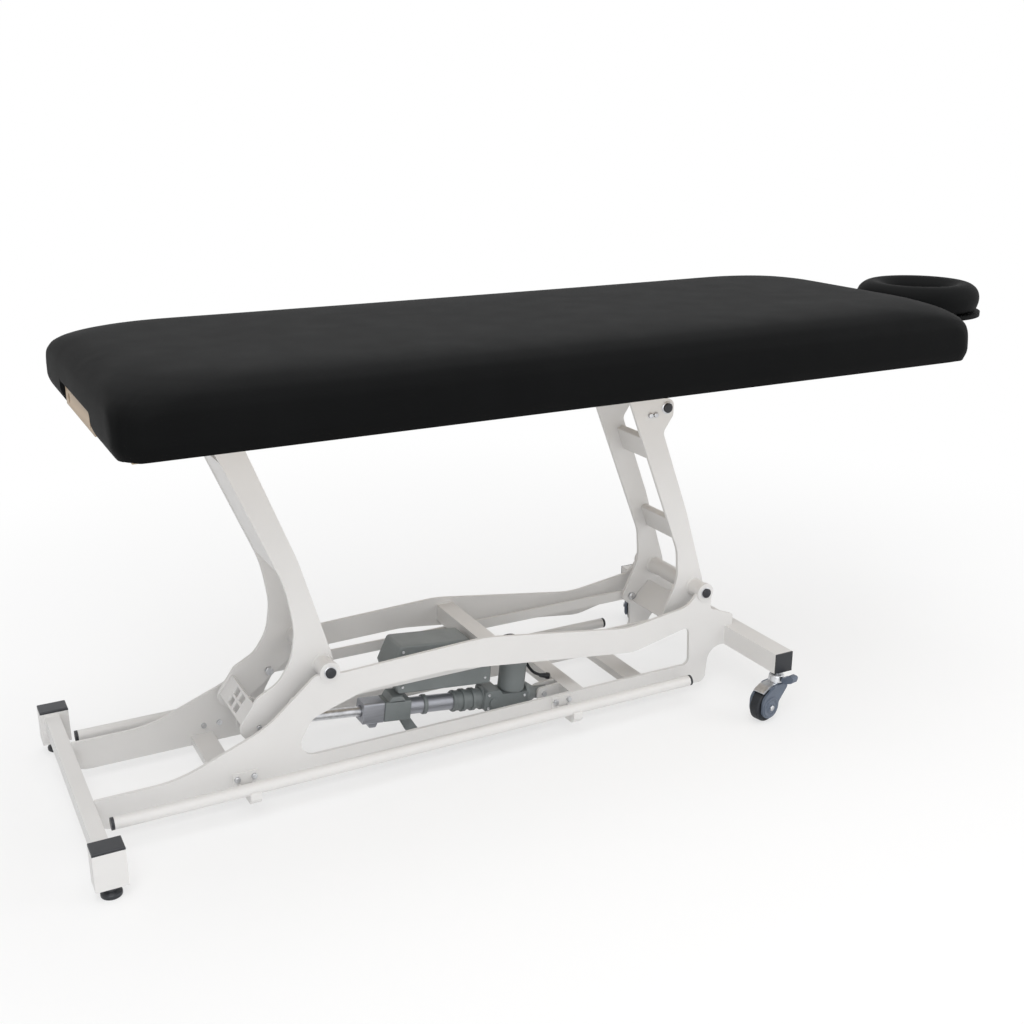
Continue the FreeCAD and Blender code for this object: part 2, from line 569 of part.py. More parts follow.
def actuator_mount():
    """A cross tube behind the rear pin, with two ears that hold the pin."""
    beam = tube_along("mount_beam", "y", ("rear_x + mount_gap", "-plate_in", "rear_z - mount_drop"),
                      ("mount_side", "2 * plate_in", "mount_side"))
    ears = []
    for number, side in enumerate((-1, 1)):
        outline = [(-136, 46, 12), (-78, 42, 0), (-78, 80, 0), (-136, 78, 12)]
        edges = rounded(outline) + ring(dim("rear_x"), dim("rear_z"), dim("rear_pin"))
        low = y_range(side, "mount_ear", "yoke_thick")
        ears.append(slab(f"mount_ear_{number}", edges, f"act_y + ({low})", "yoke_thick"))
    node(fuse("actuator_mount", beam, *ears), "actuator_mount")
    reach = "mount_ear + yoke_thick + bolt_rise"
    return rod("rear_pin", "y", ("rear_x", f"act_y - ({reach})", "rear_z"), "rear_pin", f"2 * ({reach})")


# Control box and the lead that loops from it down to the actuator's mount
# Each bend of the lead takes this share of the shorter run beside it
BEND_SHARE = 0.49
LEAD_ROUTE = [
    (-250, -14, 186), (-225, -14, 190), (-199, -14, 202), (-172, -14, 202), (-152, -14, 186), (-142, -15, 150),
    (-134, -16, 114), (-109, -17.5, 85), (-78, -18, 77),
]


def control_box():
    right = dim("box_x") + dim("box_long")
    foot = dim("box_x") + dim("box_foot_long")
    left, low, step, high = dim("box_x"), dim("box_low"), dim("box_step"), dim("box_high")
    outline = [
        (left, low, 10), (foot, low, 8), (foot, step, 5), (right, step, 3), (right, high, 6), (left + 4, high, 8),
    ]
    shell = slab("control_shell", rounded(outline), "box_y", "box_deep")
    hanger = box("control_hanger", ("upper_cross_x + wall", "box_y + 4 * wall", "box_step"),
                 ("upper_cross_side - 2 * wall", "box_deep - 8 * wall", "upper_cross_z - box_step"))
    node(fuse("control_box", shell, hanger), "control_box")


def motor_lead():
    """A round lead along straight runs joined by arcs as large as the runs allow."""
    spots = [Vector(*point) for point in LEAD_ROUTE]
    edges = []
    start = spots[0]
    for before, here, after in zip(spots, spots[1:], spots[2:]):
        back = before - here
        ahead = after - here
        shorter = min(back.Length, ahead.Length)
        back.normalize()
        ahead.normalize()
        half = back.getAngle(ahead) / 2
        reach = BEND_SHARE * shorter
        radius = reach * math.tan(half)
        middle = here + (back + ahead).normalize() * (radius / math.sin(half) - radius)
        edges.append(Part.LineSegment(start, here + back * reach).toShape())
        edges.append(Part.Arc(here + back * reach, middle, here + ahead * reach).toShape())
        start = here + ahead * reach
    edges.append(Part.LineSegment(start, spots[-1]).toShape())
    path = Part.Wire(edges)
    section = Part.Wire(Part.Circle(spots[0], spots[1] - spots[0], dim("lead_radius")).toShape())
    lead = doc.addObject("Part::Feature", "motor_lead")
    lead.Shape = path.makePipeShell([section], True, False)
    node(lead, "motor_lead")


# Casters and glides
def caster_place(name):
    side = SIDES[name]
    return Placement(Vector(dim("stem_x"), side * dim("stem_y"), 0), Rotation(Vector(0, 0, 1), dim(name + "_swivel")))


WHEEL = [
    (5.1, -14, 0), (12, -14, 2), (12, -12, 0), (31, -12, 0), (33, -13, 1), (37.5, -11, 5), (37.5, 11, 5),
    (33, 13, 1), (31, 12, 0), (12, 12, 0), (12, 14, 2), (5.1, 14, 0),
]
SWIVEL = [(6.1, 87, 0), (20, 87, 3), (17, 106, 4), (6.1, 106, 0)]
CROWN = [(-60, 73, 4), (-46, 81, 16), (14, 81, 2), (16, 88, 2), (-42, 88, 20), (-64, 77, 2)]
COVER = [
    (-67, 10.5, 26), (-13, 10.5, 26), (-12, 44, 12), (18, 76, 8), (14, 86.5, 4), (-26, 86.5, 10), (-67, 64, 26),
]
PEDAL = [
    (-21.5, 92, 2), (-34, 92, 6), (-52, 100, 7), (-56, 115.5, 5), (-40, 115.5, 6), (-30, 106, 8), (-21.5, 104, 3),
]


def casters():
    """Braked swivel casters: a stem in the frame, a crowned head, two side covers, a wheel and a pedal."""
    stems = []
    wheel_spot = Placement(Vector(-dim("trail"), 0, dim("wheel_radius")), Rotation())
    for name, side in SIDES.items():
        spot = caster_place(name)
        wheel = turned(f"caster_{name}_wheel", WHEEL, "XY_Plane")
        wheel.Placement = spot.multiply(wheel_spot)
        node(wheel, f"caster_{name}_wheel")
        crown = slab(f"crown_{name}", rounded(CROWN), "-crown_half", "2 * crown_half")
        axle = rod(f"axle_{name}", "y", ("-trail", "-axle_half", "wheel_radius"), "axle_radius", "2 * axle_half")
        head = group(f"caster_{name}_head", fuse(f"head_{name}", turned(f"swivel_{name}", SWIVEL), crown), axle)
        head.Placement = spot
        node(head, f"caster_{name}_head")
        covers = []
        for number, wall_side in enumerate((-1, 1)):
            edges = rounded(COVER) + ring(-dim("trail"), dim("wheel_radius"), dim("axle_radius"))
            covers.append(slab(f"cover_{name}_{number}", edges, y_range(wall_side, "cover_in", "cover_thick"),
                               "cover_thick"))
        shells = group(f"caster_{name}_covers", *covers)
        shells.Placement = spot
        node(shells, f"caster_{name}_covers")
        lever = bar_profile(f"pedal_{name}", rounded(PEDAL), "-pedal_half", "2 * pedal_half")
        lever.Placement = spot
        node(lever, f"caster_{name}_pedal")
        thread = rod(f"stem_thread_{name}", "z", ("stem_x", f"{side} * stem_y", "stem_low"), "stem_radius",
                     "stem_long")
        nut = rod(f"stem_nut_{name}", "z", ("stem_x", f"{side} * stem_y", "stem_nut_low"), "stem_nut",
                  "head_cross_z - stem_nut_low")
        stems.append(fuse(f"stem_{name}", thread, nut))
    node(group("caster_stems", *stems), "caster_stems")


GLIDE = [
    (0, 0, 0), (20, 0, 3), (20, 8, 3), (11, 15, 4), (11, 21, 0), (6, 21, 0), (6, 62, 0), (0, 62, 0),
]


def glides():
    for name, side in SIDES.items():
        glide = turned(f"glide_{name}", GLIDE)
        glide.Placement = Placement(Vector(dim("post_x") + dim("post_long") / 2,
                                           side * (dim("post_in") + dim("post_wide") / 2), 0), Rotation())
        node(glide, f"glide_{name}")


# Padded top, in layers of (height, how far its outline is drawn in, corner radius)
PAD_LAYERS = (
    (816, 3, 28), (840, 0.5, 30), (880, 0, 30), (905, 2, 32), (922, 8, 36), (934, 20, 46), (940, 40, 60),
    (945, 190, 90),
)


def rounded_rectangle(left, right, half, corner):
    return rounded([(left, -half, corner), (right, -half, corner), (right, half, corner), (left, half, corner)])


def top_cushion():
    """A crowned pad with sides drawn in at the bottom and a full round edge, hollow below for the deck."""
    body = doc.addObject("PartDesign::Body", "pad_body")
    left = dim("top_x")
    right = left + dim("top_long")
    half = dim("top_half")
    sketches = [sketch_on(body, "XY_Plane", f"layer_{number}",
                          rounded_rectangle(left + inset, right - inset, half - inset, corner), str(up))
                for number, (up, inset, corner) in enumerate(PAD_LAYERS)]
    loft = body.newObject("PartDesign::AdditiveLoft", "pad_form")
    loft.Profile = sketches[0]
    loft.Sections = sketches[1:]
    loft.Ruled = True
    deck_room = box("deck_room", ("top_x + wrap", "-top_half + wrap", "top_low"),
                    ("top_long - 2 * wrap", "2 * (top_half - wrap)", "deck_thick"))
    rooms = [box("rail_room_" + end, (start, "-rail_half", "top_low"),
                 ("rail_deep + wall", "2 * rail_half", "rail_tall"))
             for end, start in (("foot", "top_x - wall"), ("head", "top_x + top_long - rail_deep"))]
    node(cut("padded_top", body, deck_room, *rooms), "top_cushion")


def deck_and_rails():
    panel = box("deck_panel", ("top_x + wrap", "-top_half + wrap", "top_low"),
                ("top_long - 2 * wrap", "2 * (top_half - wrap)", "deck_thick"))
    starts = {"foot": "top_x", "head": "top_x + top_long - rail_deep"}
    notches = [box("notch_" + end, (start, "-rail_half", "top_low"), ("rail_deep", "2 * rail_half", "deck_thick"))
               for end, start in starts.items()]
    node(cut("deck", panel, *notches), "deck")
    rails = []
    for end, start in starts.items():
        face = {"foot": start, "head": "top_x + top_long - socket_deep"}[end]
        sockets = [rod(f"socket_{end}_{name}", "x", (face, f"{side} * socket_y", "top_low + rail_tall / 2"),
                       "socket_radius", "socket_deep") for name, side in SIDES.items()]
        rail = box("rail_" + end, (start, "-rail_half", "top_low"), ("rail_deep", "2 * rail_half", "rail_tall"))
        rails.append(cut("end_rail_" + end, rail, *sockets))
    node(group("end_rails", *rails), "end_rails")


def underframe():
    """Two beams under the deck, tied across, with plates that hang down to the legs' upper shafts."""
    beam_z = "top_low - beam_side"
    beams = []
    for name, side in SIDES.items():
        beams.append(tube_along("beam_" + name, "x", ("beam_x", y_range(side, "beam_in", "beam_side"), beam_z),
                                ("beam_long", "beam_side", "beam_side")))
        for end, pivot in PIVOTS.items():
            pin = pivot + Vector(dim("rise_x"), dim("rise_z"), 0)
            base = dim("top_low") - dim("beam_side")
            rise = base - pin.y
            outline = about(pin, [(-20, -20, 19), (20, -20, 19), (34, rise, 0), (-34, rise, 0)])
            edges = rounded(outline) + ring(pin.x, pin.y, dim("shaft_radius"))
            low = y_range(side, "beam_in + beam_side - pin_plate", "pin_plate")
            beams.append(slab(f"pin_plate_{end}_{name}", edges, low, "pin_plate"))
    ties = [tube_along(f"beam_tie_{number}", "y", (spot, "-beam_in", beam_z),
                       ("beam_side", "2 * beam_in", "beam_side"))
            for number, spot in enumerate(("beam_x", "mid_tie_x", "beam_x + beam_long - beam_side"))]
    node(fuse("top_underframe", *beams, *ties), "top_underframe")
    shafts = []
    for end in PIVOTS:
        start = (f"{end}_pivot_x + rise_x", "-leg_in - leg_thick - bolt_rise", "pivot_z + rise_z")
        shafts.append(rod("upper_shaft_" + end, "y", start, "shaft_radius", "2 * (leg_in + leg_thick + bolt_rise)"))
    node(group("top_pivot_shafts", *shafts), "top_pivot_shafts")


# Face cradle
def cradle():
    """A ring cushion on a plate that tilts on a carriage, whose rods slide in the head rail."""
    rods = [rod("cradle_rod_" + name, "x",
                ("top_x + top_long - cradle_rod_in", f"{side} * socket_y", "top_low + rail_tall / 2"),
                "cradle_rod", "cradle_rod_long") for name, side in SIDES.items()]
    carriage = box("cradle_block",
                   ("cradle_hinge_x - carriage_half", "-socket_y - carriage_half", "top_low + carriage_rise"),
                   ("2 * carriage_half", "2 * (socket_y + carriage_half)", "carriage_tall"))
    lug = [(-12, -16, 0), (12, -16, 0), (12, 8, 8), (-12, 8, 8)]
    centre = Vector(dim("cradle_hinge_x"), dim("cradle_hinge_z"), 0)
    hole = ring(centre.x, centre.y, dim("cradle_pin"))
    wide_hole = ring(centre.x, centre.y, dim("cradle_pin") + dim("hinge_fit"))
    lugs = [slab("cradle_lug_" + name, rounded(about(centre, lug)) + hole, y_range(side, "lug_in", "lug_thick"),
                 "lug_thick") for name, side in SIDES.items()]
    pins = [rod("cradle_pin_" + name, "y",
                ("cradle_hinge_x", y_range(side, "cradle_pin_in", "cradle_pin_long"), "cradle_hinge_z"),
                "cradle_pin", "cradle_pin_long") for name, side in SIDES.items()]
    node(fuse("cradle_carriage", carriage, *rods, *lugs, *pins), "cradle_carriage")
    under = ("cradle_x", "0", "cradle_low - disc_thick")
    disc = cut("cradle_disc", rod("disc_outside", "z", under, "cradle_radius - disc_inset", "disc_thick"),
               rod("disc_hole", "z", under, "face_radius + disc_rim", "disc_thick"))
    hang = [(-10, -8, 7), (10, -8, 7), (14, 12, 0), (-14, 12, 0)]
    straps = [slab("cradle_strap_" + name, rounded(about(centre, hang)) + wide_hole,
                   y_range(side, "strap_in", "strap_thick"), "strap_thick") for name, side in SIDES.items()]
    node(fuse("cradle_plate", disc, *straps), "cradle_plate")
    low, high = dim("cradle_low"), dim("cradle_high")
    inner, outer = dim("face_radius"), dim("cradle_radius")
    outline = [
        (inner + 4, low, 4), (outer - 8, low, 8), (outer, low + 38, 30), (outer - 14, high - 8, 24),
        (outer - 48, high, 40), (inner + 26, high - 3, 24), (inner, high - 34, 24),
    ]
    pad_form = turned("cradle_ring", outline)
    pad_form.Placement = Placement(Vector(dim("cradle_x"), 0, 0), Rotation())
    node(pad_form, "cradle_cushion")


side_frames()
frame_tubes()
frame_caps()
pivot_shafts()
fasteners = treadle_bars()
leg_plates()
foot_leg_webs()
head_leg_details()
tie_bars()
actuator()
fasteners.append(actuator_mount())
node(group("frame_fasteners", *fasteners), "frame_fasteners")
control_box()
motor_lead()
casters()
glides()
top_cushion()
deck_and_rails()
underframe()
cradle()
doc.recompute()

failed = [item.Name for item in doc.Objects if "Invalid" in item.State or "Error" in item.State]
bad = [item.Label for item in nodes if item.Shape.isNull() or not item.Shape.isValid()]
if failed or bad:
    raise RuntimeError(f"objects that failed: {failed}, shapes that are not valid: {bad}")

os.makedirs("parts", exist_ok=True)
for item in nodes:
    item.Shape.exportStep(f"parts/{item.Label}.step")
print(f"{len(nodes)} sub-parts written")
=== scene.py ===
import json
import math

import bpy
import numpy as np
from bpy.props import FloatProperty, FloatVectorProperty, PointerProperty
from bpy.types import Operator, Panel, PropertyGroup
from mathutils import Euler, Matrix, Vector
from mathutils.geometry import tessellate_polygon


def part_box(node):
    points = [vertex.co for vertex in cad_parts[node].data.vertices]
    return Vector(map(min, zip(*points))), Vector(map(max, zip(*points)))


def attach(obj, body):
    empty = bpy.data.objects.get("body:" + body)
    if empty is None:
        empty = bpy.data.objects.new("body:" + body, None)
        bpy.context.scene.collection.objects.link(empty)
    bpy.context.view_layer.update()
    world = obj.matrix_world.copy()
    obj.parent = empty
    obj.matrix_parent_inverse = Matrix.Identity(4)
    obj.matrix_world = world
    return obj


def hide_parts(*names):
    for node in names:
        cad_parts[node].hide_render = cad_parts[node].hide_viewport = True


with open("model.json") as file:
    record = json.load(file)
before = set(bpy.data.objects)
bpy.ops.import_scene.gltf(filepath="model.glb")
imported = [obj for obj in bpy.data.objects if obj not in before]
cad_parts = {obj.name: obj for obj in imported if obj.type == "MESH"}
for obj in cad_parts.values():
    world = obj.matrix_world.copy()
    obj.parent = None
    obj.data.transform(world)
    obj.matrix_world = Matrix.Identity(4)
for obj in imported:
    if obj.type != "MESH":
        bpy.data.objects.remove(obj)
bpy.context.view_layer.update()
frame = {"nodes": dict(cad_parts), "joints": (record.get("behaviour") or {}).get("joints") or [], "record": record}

bl_info = {
    "name": "Lift massage table dressing",
    "version": (1, 0, 0),
    "blender": (4, 5, 0),
    "location": "View3D > Sidebar > Table",
    "description": "Upholstery, finishes and fittings around the solids of a lift massage table",
    "category": "Object",
}

JOINTS = {joint["name"]: joint for joint in frame["joints"]}
SIDES = (("near", -1), ("far", 1))
MM = 0.001
TURN = 2 * math.pi
NO_TRIANGLES = np.zeros((0, 3), int)


def middle(node):
    low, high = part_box(node)
    return np.array((low + high) / 2)


def face(node, out):
    """Where a node ends across the table, on its near side for -1 and on its far side for 1."""
    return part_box(node)[0 if out < 0 else 1].y


def pivot(joint):
    return np.array(JOINTS[joint]["pos_m"], float)


# Settings


def colour(name, words, value):
    return FloatVectorProperty(name=name, description=words, subtype="COLOR", size=3, min=0, max=1, default=value)


def length(name, words, value):
    return FloatProperty(name=name, description=words, subtype="DISTANCE", unit="LENGTH", min=0, default=value)


class TableFinishes(PropertyGroup):
    """Colours of the table's finishes, as linear values."""

    paint: colour("Paint", "White powder coat of the frame and legs", (0.765, 0.757, 0.747))
    vinyl: colour("Vinyl", "Cover of the padded top and of the face cushion", (0.0032, 0.0034, 0.0036))
    beech: colour("Beech", "Rails at both ends of the deck", (0.47, 0.36, 0.25))
    birch: colour("Birch", "Plywood deck under the padding", (0.52, 0.41, 0.28))
    housing: colour("Housing", "Moulded shells of the drive and the control box", (0.205, 0.226, 0.228))
    sleeve: colour("Sleeve", "Anodised outer tube of the drive", (0.38, 0.39, 0.425))
    zinc: colour("Zinc", "Plated steel of shafts, bolts and caster heads", (0.62, 0.63, 0.65))
    cap: colour("Cap", "Black moulded caps, plugs and glides", (0.017, 0.019, 0.024))
    caster: colour("Caster", "Blue-grey moulded caster covers and pedals", (0.105, 0.13, 0.175))
    tread: colour("Tread", "Rubber of the caster wheels", (0.016, 0.018, 0.022))


class TableSizes(PropertyGroup):
    """Sizes of the dressing that the solids don't hold."""

    vinyl_grain: length("Vinyl grain", "Width of one cell in the vinyl's grain", 1.3 * MM)
    pad_cell: length("Pad cell", "Size of the mesh that the padded top is blown up on", 13 * MM)
    cradle_cell: length("Cradle cell", "Size of the mesh that the face cushion is blown up on", 6 * MM)
    pad_swell: length("Pad swell", "Furthest that the padded top's cover may move out", 5 * MM)
    cradle_swell: length("Cradle swell", "Furthest that the face cushion's cover may move out", 6 * MM)
    weld: length("Weld", "Half width of a weld bead", 2.6 * MM)
    weld_ripple: length("Weld ripple", "Distance between two ripples of a weld bead", 3.4 * MM)


class StageSettings(PropertyGroup):
    """Camera and light of the stage."""

    camera_spot: FloatVectorProperty(name="Camera", description="Where the camera stands", subtype="TRANSLATION",
                                     default=(-1.4215, -2.3799, 1.3745))
    camera_turn: FloatVectorProperty(name="Turn", description="How the camera is turned", subtype="EULER",
                                     default=tuple(math.radians(angle) for angle in (71.918, 0, -27.819)))
    lens: FloatProperty(name="Lens", description="Focal length in millimetres", default=43.99, min=1)
    floor: colour("Floor", "Pale floor under the table", (0.9, 0.9, 0.9))


# Meshes


def lattice(rows, columns, wrap_rows=False):
    """Quads of a grid of rows by columns, numbered row by row. Each row closes on itself, and the last row may
    join the first."""
    row = np.arange(rows if wrap_rows else rows - 1)[:, None]
    column = np.arange(columns)
    next_row = (row + 1) % rows
    next_column = (column + 1) % columns
    corners = (row * columns + column, row * columns + next_column,
               next_row * columns + next_column, next_row * columns + column)
    return np.stack(corners, -1).reshape(-1, 4)


def join(forms):
    """Several (points, quads, triangles) as one, with the later forms' numbers moved up."""
    offsets = np.cumsum([0] + [len(form[0]) for form in forms])
    faces = [np.concatenate([form[kind] + offset for form, offset in zip(forms, offsets)]) for kind in (1, 2)]
    return np.concatenate([form[0] for form in forms]), *faces


def ended(points, rows, columns):
    """Closes a tube of rows by columns with a fan of triangles round a middle point at either end."""
    middles = points.reshape(rows, columns, 3)[[0, -1]].mean(1)
    around = np.arange(columns)
    following = (around + 1) % columns
    base = (rows - 1) * columns
    first = np.stack((np.full(columns, rows * columns), following, around), -1)
    last = np.stack((np.full(columns, rows * columns + 1), base + around, base + following), -1)
    return np.concatenate((points.reshape(-1, 3), middles)), lattice(rows, columns), np.concatenate((first, last))


def make(name, forms, slot=None, body=None, smooth=True):
    """Puts arrays of points, quads and triangles into a mesh object with a slot's finish that rides on a body."""
    points, quads, triangles = join(forms)
    mesh = bpy.data.meshes.new(name)
    mesh.vertices.add(len(points))
    mesh.vertices.foreach_set("co", np.asarray(points, np.float32).ravel())
    mesh.loops.add(quads.size + triangles.size)
    mesh.loops.foreach_set("vertex_index", np.concatenate((quads.ravel(), triangles.ravel())).astype(np.int32))
    mesh.polygons.add(len(quads) + len(triangles))
    starts = np.concatenate((np.arange(len(quads)) * 4, quads.size + np.arange(len(triangles)) * 3))
    mesh.polygons.foreach_set("loop_start", starts.astype(np.int32))
    mesh.update(calc_edges=True)
    mesh.validate()
    mesh.polygons.foreach_set("use_smooth", np.full(len(mesh.polygons), smooth))
    piece = bpy.data.objects.new(name, mesh)
    bpy.context.scene.collection.objects.link(piece)
    if slot:
        mesh.materials.append(finishes()[slot])
    if body:
        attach(piece, body)
    return piece


def settle(piece, slot, body, node):
    """Gives a piece the finish of its slot and the body that it rides on, and hides the node that it stands for."""
    piece.data.materials.append(finishes()[slot])
    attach(piece, body)
    if node:
        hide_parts(node)


def make_plates(name, forms, slot, body, node=None):
    """A piece of plates, with their triangles shaded flat and their rims and walls, which are quads, smooth."""
    piece = make(name, forms)
    corners = np.empty(len(piece.data.polygons), np.int32)
    piece.data.polygons.foreach_get("loop_total", corners)
    piece.data.polygons.foreach_set("use_smooth", corners == 4)
    settle(piece, slot, body, node)


def axes_for(direction):
    """A right-handed set of three unit vectors whose third is the direction."""
    along = np.asarray(direction, float)
    along = along / np.linalg.norm(along)
    helper = np.eye(3)[np.argmin(np.abs(along))]
    across = np.cross(helper, along)
    across /= np.linalg.norm(across)
    return across, np.cross(along, across), along


def full_turn(steps):
    return np.arange(steps) * TURN / steps


def ring(axis, turn):
    """Unit vectors round an axis: cos t and sin t of two directions across it."""
    across, up, along = axes_for(axis)
    return np.cos(turn)[:, None] * across + np.sin(turn)[:, None] * up


def revolve(section, centre, axis, steps=40, hollow=False):
    """A section of (radius, distance along) in millimetres turned about an axis: r cos t, r sin t, h. Its first
    and last rows are closed by fans, or joined to each other where it is hollow."""
    section = np.asarray(section, float) * MM
    points = (np.asarray(centre) + section[:, 0, None, None] * ring(axis, full_turn(steps))
              + section[:, 1, None, None] * axes_for(axis)[2])
    if hollow:
        return points.reshape(-1, 3), lattice(len(section), steps, wrap_rows=True), NO_TRIANGLES
    return ended(points, len(section), steps)


def hexagon(centre, axis, across_flats, height):
    """A hexagon head in millimetres with a round chamfer: the radius is the flat's distance over the cosine of the
    angle from the middle of the nearest flat, held within the chamfer's circle at the top."""
    half_flat = math.pi / 6
    turn = full_turn(36)
    flat = across_flats / 2 / np.cos((turn + half_flat) % (2 * half_flat) - half_flat)
    levels = np.array([0, 0.72, 1.0, 1.0]) * height
    limit = across_flats * np.array([1, 1, 0.47, 0.25])
    radius = np.minimum(flat, limit[:, None])
    offset = radius[:, :, None] * ring(axis, turn) + levels[:, None, None] * axes_for(axis)[2]
    return ended(np.asarray(centre) + offset * MM, len(levels), len(turn))


def tube(path, radius, sides=8):
    """A round section carried along a path; radius is one value or one for each point. The section's first
    direction is square to the path and to the direction in which the path spreads least, so it doesn't twist."""
    ahead = np.gradient(path, axis=0)
    ahead /= np.linalg.norm(ahead, axis=1, keepdims=True)
    flat = np.linalg.svd(path - path.mean(0), full_matrices=False)[2][2]
    first = np.cross(ahead, flat)
    first /= np.linalg.norm(first, axis=1, keepdims=True)
    second = np.cross(ahead, first)
    turn = full_turn(sides)[None, :, None]
    section = np.cos(turn) * first[:, None, :] + np.sin(turn) * second[:, None, :]
    points = path[:, None, :] + np.broadcast_to(radius, len(path))[:, None, None] * section
    return ended(points, len(path), sides)


def line(start, end, step):
    """Points at about one step from each other on a straight run."""
    start = np.asarray(start, float)
    end = np.asarray(end, float)
    count = max(3, int(np.linalg.norm(end - start) / step) + 1)
    return start + np.linspace(0, 1, count)[:, None] * (end - start)


def circle(centre, axis, radius, step):
    """Points at about one step from each other round a circle, back to the first."""
    return np.asarray(centre) + radius * ring(axis, np.linspace(0, TURN, int(TURN * radius / step)))


def smooth_run(points, step):
    """A path through given points: each stretch is a cubic with the tangents of its neighbours, sampled at one step."""
    padded = np.concatenate((2 * points[:1] - points[1:2], points, 2 * points[-1:] - points[-2:-1]))
    stretches = []
    for before, start, end, after in zip(padded, padded[1:], padded[2:], padded[3:]):
        count = max(2, int(np.linalg.norm(end - start) / step))
        t = np.linspace(0, 1, count, endpoint=False)[:, None]
        tangent_in = (end - before) / 2
        tangent_out = (after - start) / 2
        stretches.append((2 * t ** 3 - 3 * t ** 2 + 1) * start + (t ** 3 - 2 * t ** 2 + t) * tangent_in
                         + (3 * t ** 2 - 2 * t ** 3) * end + (t ** 3 - t ** 2) * tangent_out)
    return np.concatenate(stretches + [points[-1:]])


def bend(corners, steps=9):
    """An outline in metres through corners of (across, up, radius) in millimetres: each corner becomes an arc about
    the point that lies radius / sin(half angle) along the line that halves the corner."""
    corners = np.asarray(corners, float) * MM
    least_radius = 0.4 * MM
    here = corners[:, :2]
    back = np.roll(here, 1, 0) - here
    ahead = np.roll(here, -1, 0) - here
    back /= np.linalg.norm(back, axis=1, keepdims=True)
    ahead /= np.linalg.norm(ahead, axis=1, keepdims=True)
    half = np.arccos(np.clip((back * ahead).sum(1), -1, 1)) / 2
    radius = np.maximum(corners[:, 2], least_radius)
    inward = (back + ahead) / np.linalg.norm(back + ahead, axis=1, keepdims=True)
    centre = here + inward * (radius / np.sin(half))[:, None]
    start = here + back * (radius / np.tan(half))[:, None] - centre
    side = np.sign(back[:, 1] * ahead[:, 0] - back[:, 0] * ahead[:, 1])
    turn = (side * (math.pi - 2 * half))[:, None] * np.linspace(0, 1, steps)
    arc = np.stack((np.cos(turn) * start[:, :1] - np.sin(turn) * start[:, 1:],
                    np.sin(turn) * start[:, :1] + np.cos(turn) * start[:, 1:]), -1)
    return (centre[:, None, :] + arc).reshape(-1, 2)


def bore(radius, steps=40):
    """A round outline in metres from a radius in millimetres."""
    turn = full_turn(steps)
    return radius * MM * np.stack((np.cos(turn), np.sin(turn)), -1)


def slab(loops, place, low, high, edge=0.8 * MM):
    """A plate: an outline, and the outlines of its openings, carried from low to high along the normal of a plane
    given by its origin and two directions. Both rims are quarter rounds, inset e (1 - sin a) at e (1 - cos a)."""
    origin, across, up = (np.asarray(item, float) for item in place)
    normal = np.cross(across, up)
    angle = np.linspace(0, math.pi / 2, 5)
    rim = edge * np.stack((1 - np.sin(angle), 1 - np.cos(angle)), -1)
    rows = np.concatenate((rim + (0, low), rim[::-1] * (1, -1) + (0, high)))
    walls = []
    ends = []
    first = []
    for number, loop in enumerate(loops):
        following = np.roll(loop, -1, 0)
        area = (loop[:, 0] * following[:, 1] - following[:, 0] * loop[:, 1]).sum()
        loop = loop if (area > 0) == (number == 0) else loop[::-1]
        tangent = np.roll(loop, -1, 0) - np.roll(loop, 1, 0)
        left = np.stack((-tangent[:, 1], tangent[:, 0]), -1) / np.linalg.norm(tangent, axis=1, keepdims=True)
        plan = loop + rows[:, 0, None, None] * left
        points = origin + plan[..., :1] * across + plan[..., 1:] * up + rows[:, 1, None, None] * normal
        first.append(np.arange(len(loop)) + sum(len(wall[0]) for wall in walls))
        walls.append((points.reshape(-1, 3), lattice(len(rows), len(loop)), NO_TRIANGLES))
        ends.append(plan[0])
    last = np.concatenate([numbers + (len(rows) - 1) * len(numbers) for numbers in first])
    fill = np.array(tessellate_polygon([[Vector((*spot, 0)) for spot in end] for end in ends]))
    a, b, c = (np.concatenate(ends)[fill[:, corner]] for corner in range(3))
    turned = ((b - a) * (c - a)[:, ::-1] * (1, -1)).sum(1) < 0
    fill[turned] = fill[turned][:, ::-1]
    points, quads, triangles = join(walls)
    return points, quads, np.concatenate((np.concatenate(first)[fill[:, ::-1]], last[fill]))


# Finishes


def feed(tree, socket, value):
    """Links an output to a socket, or sets any other value on it."""
    if isinstance(value, bpy.types.NodeSocket):
        tree.links.new(value, socket)
    else:
        socket.default_value = value


def add(tree, kind, settings=None, **sockets):
    """Adds a node and feeds its sockets by their names."""
    item = tree.nodes.new(kind)
    for field, value in (settings or {}).items():
        setattr(item, field, value)
    for name, value in sockets.items():
        feed(tree, item.inputs[name.replace("_", " ")], value)
    return item


def combine(tree, operation, *values, kind="ShaderNodeMath"):
    item = add(tree, kind, {"operation": operation})
    for socket, value in zip(item.inputs, values):
        feed(tree, socket, value)
    return item.outputs[0]


def mix_out(tree, share, first, second, end):
    """Sends a mix of two shaders to a tree's output."""
    mix = add(tree, "ShaderNodeMixShader", Fac=share)
    feed(tree, mix.inputs[1], first.outputs[0])
    feed(tree, mix.inputs[2], second.outputs[0])
    feed(tree, tree.nodes[end].inputs["Surface"], mix.outputs[0])


def shade(value, share):
    return tuple(min(1.0, channel * share) for channel in value)


